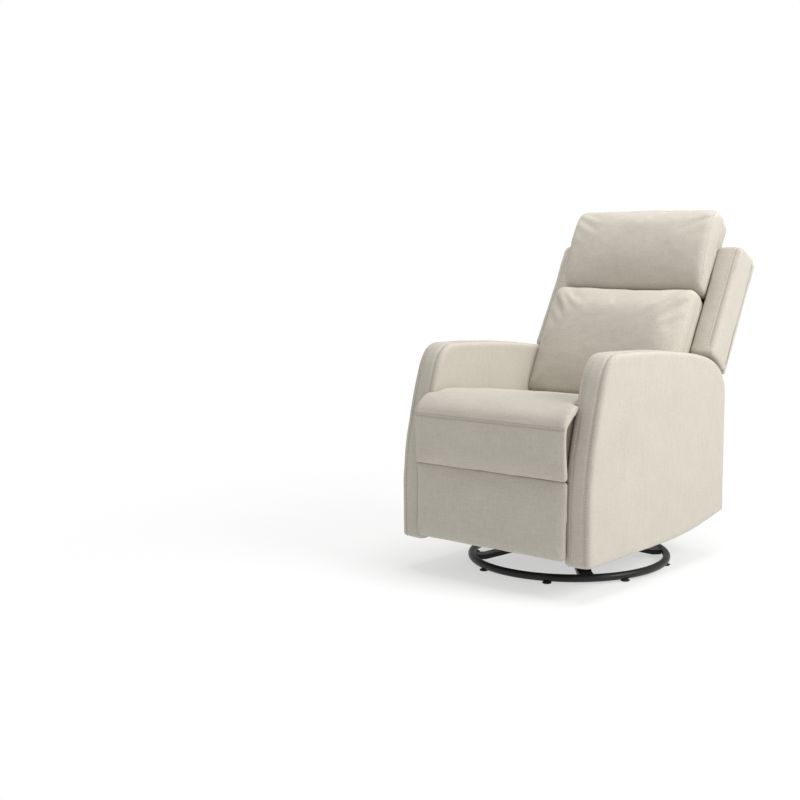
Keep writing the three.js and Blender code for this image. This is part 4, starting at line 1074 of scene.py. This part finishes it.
def headrest_held(at):
    height, behind = back_coordinates(at)
    x = np.abs(at[:, 0])
    rear = (behind > CUSHION_REAR - 0.020) * 1.0
    foot = (height < CREASE + 0.016) * 0.7
    front_line = np.interp(height, *HEADREST_LINE)
    sewn = np.exp(-((behind - front_line - 0.010) / 0.008) ** 2) * (x > headrest_half - 0.016) * 0.8
    boxing = np.clip(1 - (headrest_half - x) / 0.006, 0, 1) * 0.5
    return np.clip(np.maximum.reduce([rear, foot, sewn, boxing]), 0, 1)


filled(headrest, headrest_held, 0.013)
rippled(headrest, 0.075, 0.0016, 33.0)
for t, rows in ((0.0075, (-0.0045,)), (HEADREST_DEEP - 0.016, (0.0045,))):
    path = band_path(headrest_ring, t, headrest_place, (headrest_half, CREASE + 0.03),
                     (-headrest_half, CREASE + 0.03), 0.0015)
    seam(headrest, path, "back", 0.0030, 0.0032, rows)
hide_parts("headrest_cushion")
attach(headrest, "back")

# ---------------------------------------------------------------- wings and outside back
# Padded boards bolted to the back's sides: they stand behind the cushions, end in a point
# over the arm, and carry one topstitched seam down their front edge.
WING_FRONT, WING_REAR, WING_TOP = 0.065, 0.159, 0.549
PANEL_THICK = 0.012
wing_low, wing_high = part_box("wing_left")
wing_thick = wing_high.x - wing_low.x
from_pivot = arm_ring - np.array((recline_y, recline_z))
corner_reach = np.linalg.norm(from_pivot[(from_pivot > 0).all(1)], axis=1).max()
sweep_radius = corner_reach + 0.009


def sweep_height(behind):
    y, z = back_point(0, behind)
    offset = np.array((y - recline_y, z - recline_z))
    b = offset @ np.array((math.sin(LEAN), math.cos(LEAN)))
    return -b + math.sqrt(b * b - offset @ offset + sweep_radius ** 2)


foot_arc = [back_point(sweep_height(b), b) for b in np.linspace(WING_FRONT + 0.005, WING_REAR - 0.004, 14)]
tip = np.array(back_point(sweep_height(WING_FRONT) + 0.008, WING_FRONT))
heel = np.array(back_point(sweep_height(WING_REAR) + 0.006, WING_REAR))
top_rear = rounded(back_point(WING_TOP - 0.2, WING_REAR), back_point(WING_TOP, WING_REAR),
                   back_point(WING_TOP, WING_FRONT + 0.01), 0.014)
top_front = rounded(back_point(WING_TOP, WING_REAR), back_point(WING_TOP, WING_FRONT),
                    back_point(WING_TOP - 0.2, WING_FRONT), 0.012)
wing_ring = even(np.vstack([foot_arc, [heel], top_rear, top_front, [tip]]), 0.006)
wing_rows = slab_rows(wing_thick, 0.010, (wing_thick - ARM_SEAM,), 0.019, 0.0022)


def wing_place(u, v, t, inset):
    outer = np.clip(t / wing_thick, 0, 1)
    return np.stack([wing_low.x + t + crown(inset, 0.05, 0.003) * (outer - 0.5) * 2, u, v], 1)


for side, name in ((1, "wing_left"), (-1, "wing_right")):
    wing = stuffed(f"{name}_cover", wing_ring, wing_rows, wing_place, 0.014)
    rippled(wing, 0.07, 0.0011, 9.0)
    path = band_path(wing_ring, wing_thick - ARM_SEAM, wing_place,
                     back_point(WING_TOP, WING_REAR - 0.02),
                     back_point(sweep_height(WING_FRONT) + 0.030, WING_FRONT))
    seam(wing, path, "wing")
    lines = stitch_lines.pop("wing")
    stitch_lines["back"] += mirrored(wing, lines) if side < 0 else lines
    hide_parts(name)
    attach(wing, "back")

# Outside back: a cover pulled over the back frame, full width above the arms and narrow
# enough to pass between them below, with a seam down each side.
panel_rear = WING_REAR + 0.0003 + PANEL_THICK
shoulder = sweep_height(panel_rear)
panel_wide = wing_high.x - 0.001
panel_narrow = arm_low.x - 0.006
panel_foot = -0.070
PANEL_TOP = 0.553                    # the middle rises over the frame's top rail
panel_ring = even(cornered([
    (-panel_narrow, panel_foot, 0.008), (panel_narrow, panel_foot, 0.008),
    (panel_narrow, shoulder, 0.002), (panel_wide, shoulder, 0.006),
    (panel_wide, WING_TOP - 0.007, 0.012), (panel_narrow - 0.03, PANEL_TOP, 0.060),
    (-panel_narrow + 0.03, PANEL_TOP, 0.060), (-panel_wide, WING_TOP - 0.007, 0.012),
    (-panel_wide, shoulder, 0.006), (-panel_narrow, shoulder, 0.002)]), 0.006)


def panel_place(u, v, t, inset):
    rear = np.clip(t / PANEL_THICK, 0, 1)
    return on_back(u, v, WING_REAR + 0.0006 + t + crown(inset, 0.16, 0.006) * rear)


back_panel = stuffed("outside_back_cover", panel_ring, edge_rows(PANEL_THICK, 0.002, 0.005, 0.009),
                     panel_place, 0.016)
rippled(back_panel, 0.11, 0.0010, 14.0)
for side in (-1, 1):
    path = [(side * (panel_narrow - 0.012), *back_point(h, panel_rear + 0.002))
            for h in np.linspace(panel_foot + 0.012, WING_TOP - 0.016, 80)]
    seam(back_panel, path, "back", 0.0024, 0.0030)
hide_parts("back_panel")
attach(back_panel, "back")
sew("back_topstitching", "back")

# Top strip of the back: padded cover over the frame's top rail, from the headrest to the
# outside back, between the two wings.
TOP_RAIL_HEIGHT, STRIP_THICK = 0.5505, 0.006
strip_ring = board(-WAIST, WAIST, CUSHION_REAR + 0.002, WING_REAR - 0.001, 0.004, 0.004, 0.006)


def strip_place(u, v, t, inset):
    swell = crown(inset, 0.025, 0.003) * np.clip(t / STRIP_THICK, 0, 1)
    return on_back(u, TOP_RAIL_HEIGHT + t + swell, v)


top_strip = stuffed("back_top_strip", strip_ring, edge_rows(STRIP_THICK, 0.001, 0.003, 0.006),
                    strip_place, 0.010)
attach(top_strip, "back")

# Lower rear panel: fabric over board between the two arms, under the outside back.
rear_low, rear_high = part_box("rear_panel")
rear_ring = board(rear_low.x + 0.001, rear_high.x - 0.001, rear_low.z, rear_high.z, 0.006, 0.006, 0.007)
rear_thick = rear_high.y - rear_low.y


def rear_place(u, v, t, inset):
    swell = crown(inset, 0.09, 0.004) * np.clip(t / rear_thick, 0, 1)
    return np.stack([u, rear_low.y + t + swell, v], 1)


rear_cover = stuffed("lower_rear_cover", rear_ring, edge_rows(rear_thick, 0.002, 0.005, 0.009),
                     rear_place, 0.016)
rippled(rear_cover, 0.10, 0.0009, 17.0)
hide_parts("rear_panel")
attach(rear_cover, "seat")

# ---------------------------------------------------------------- release handle
# Moulded cup let into the outside of the right arm, with a pull lever inside. Its bezel
# hides the cut edge of the cover.
bezel_section = [(-0.0060, -0.0010), (-0.0060, 0.0012), (-0.0048, 0.0024), (0.0006, 0.0026),
                 (0.0024, 0.0012), (0.0028, -0.0012), (0.0005, -0.0022)]
count = len(pocket_ring)
points, faces = [], []
for i in range(count):
    ahead = pocket_ring[(i + 1) % count] - pocket_ring[i - 1]
    inward = np.array((-ahead[1], ahead[0])) / np.linalg.norm(ahead)
    for inset, stand in bezel_section:
        y, z = pocket_ring[i] + inward * inset
        points.append((cup_low.x - 0.0046 - stand, y, z))
size = len(bezel_section)
for i in range(count):
    for k in range(size):
        a, b = i * size, ((i + 1) % count) * size
        faces.append((a + k, b + k, b + (k + 1) % size, a + (k + 1) % size))
mesh = bpy.data.meshes.new("release_bezel")
mesh.from_pydata(points, [], faces)
bezel = bpy.data.objects.new("release_bezel", mesh)
scene.collection.objects.link(bezel)
outward(dress(bezel, plastic))
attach(bezel, "seat")
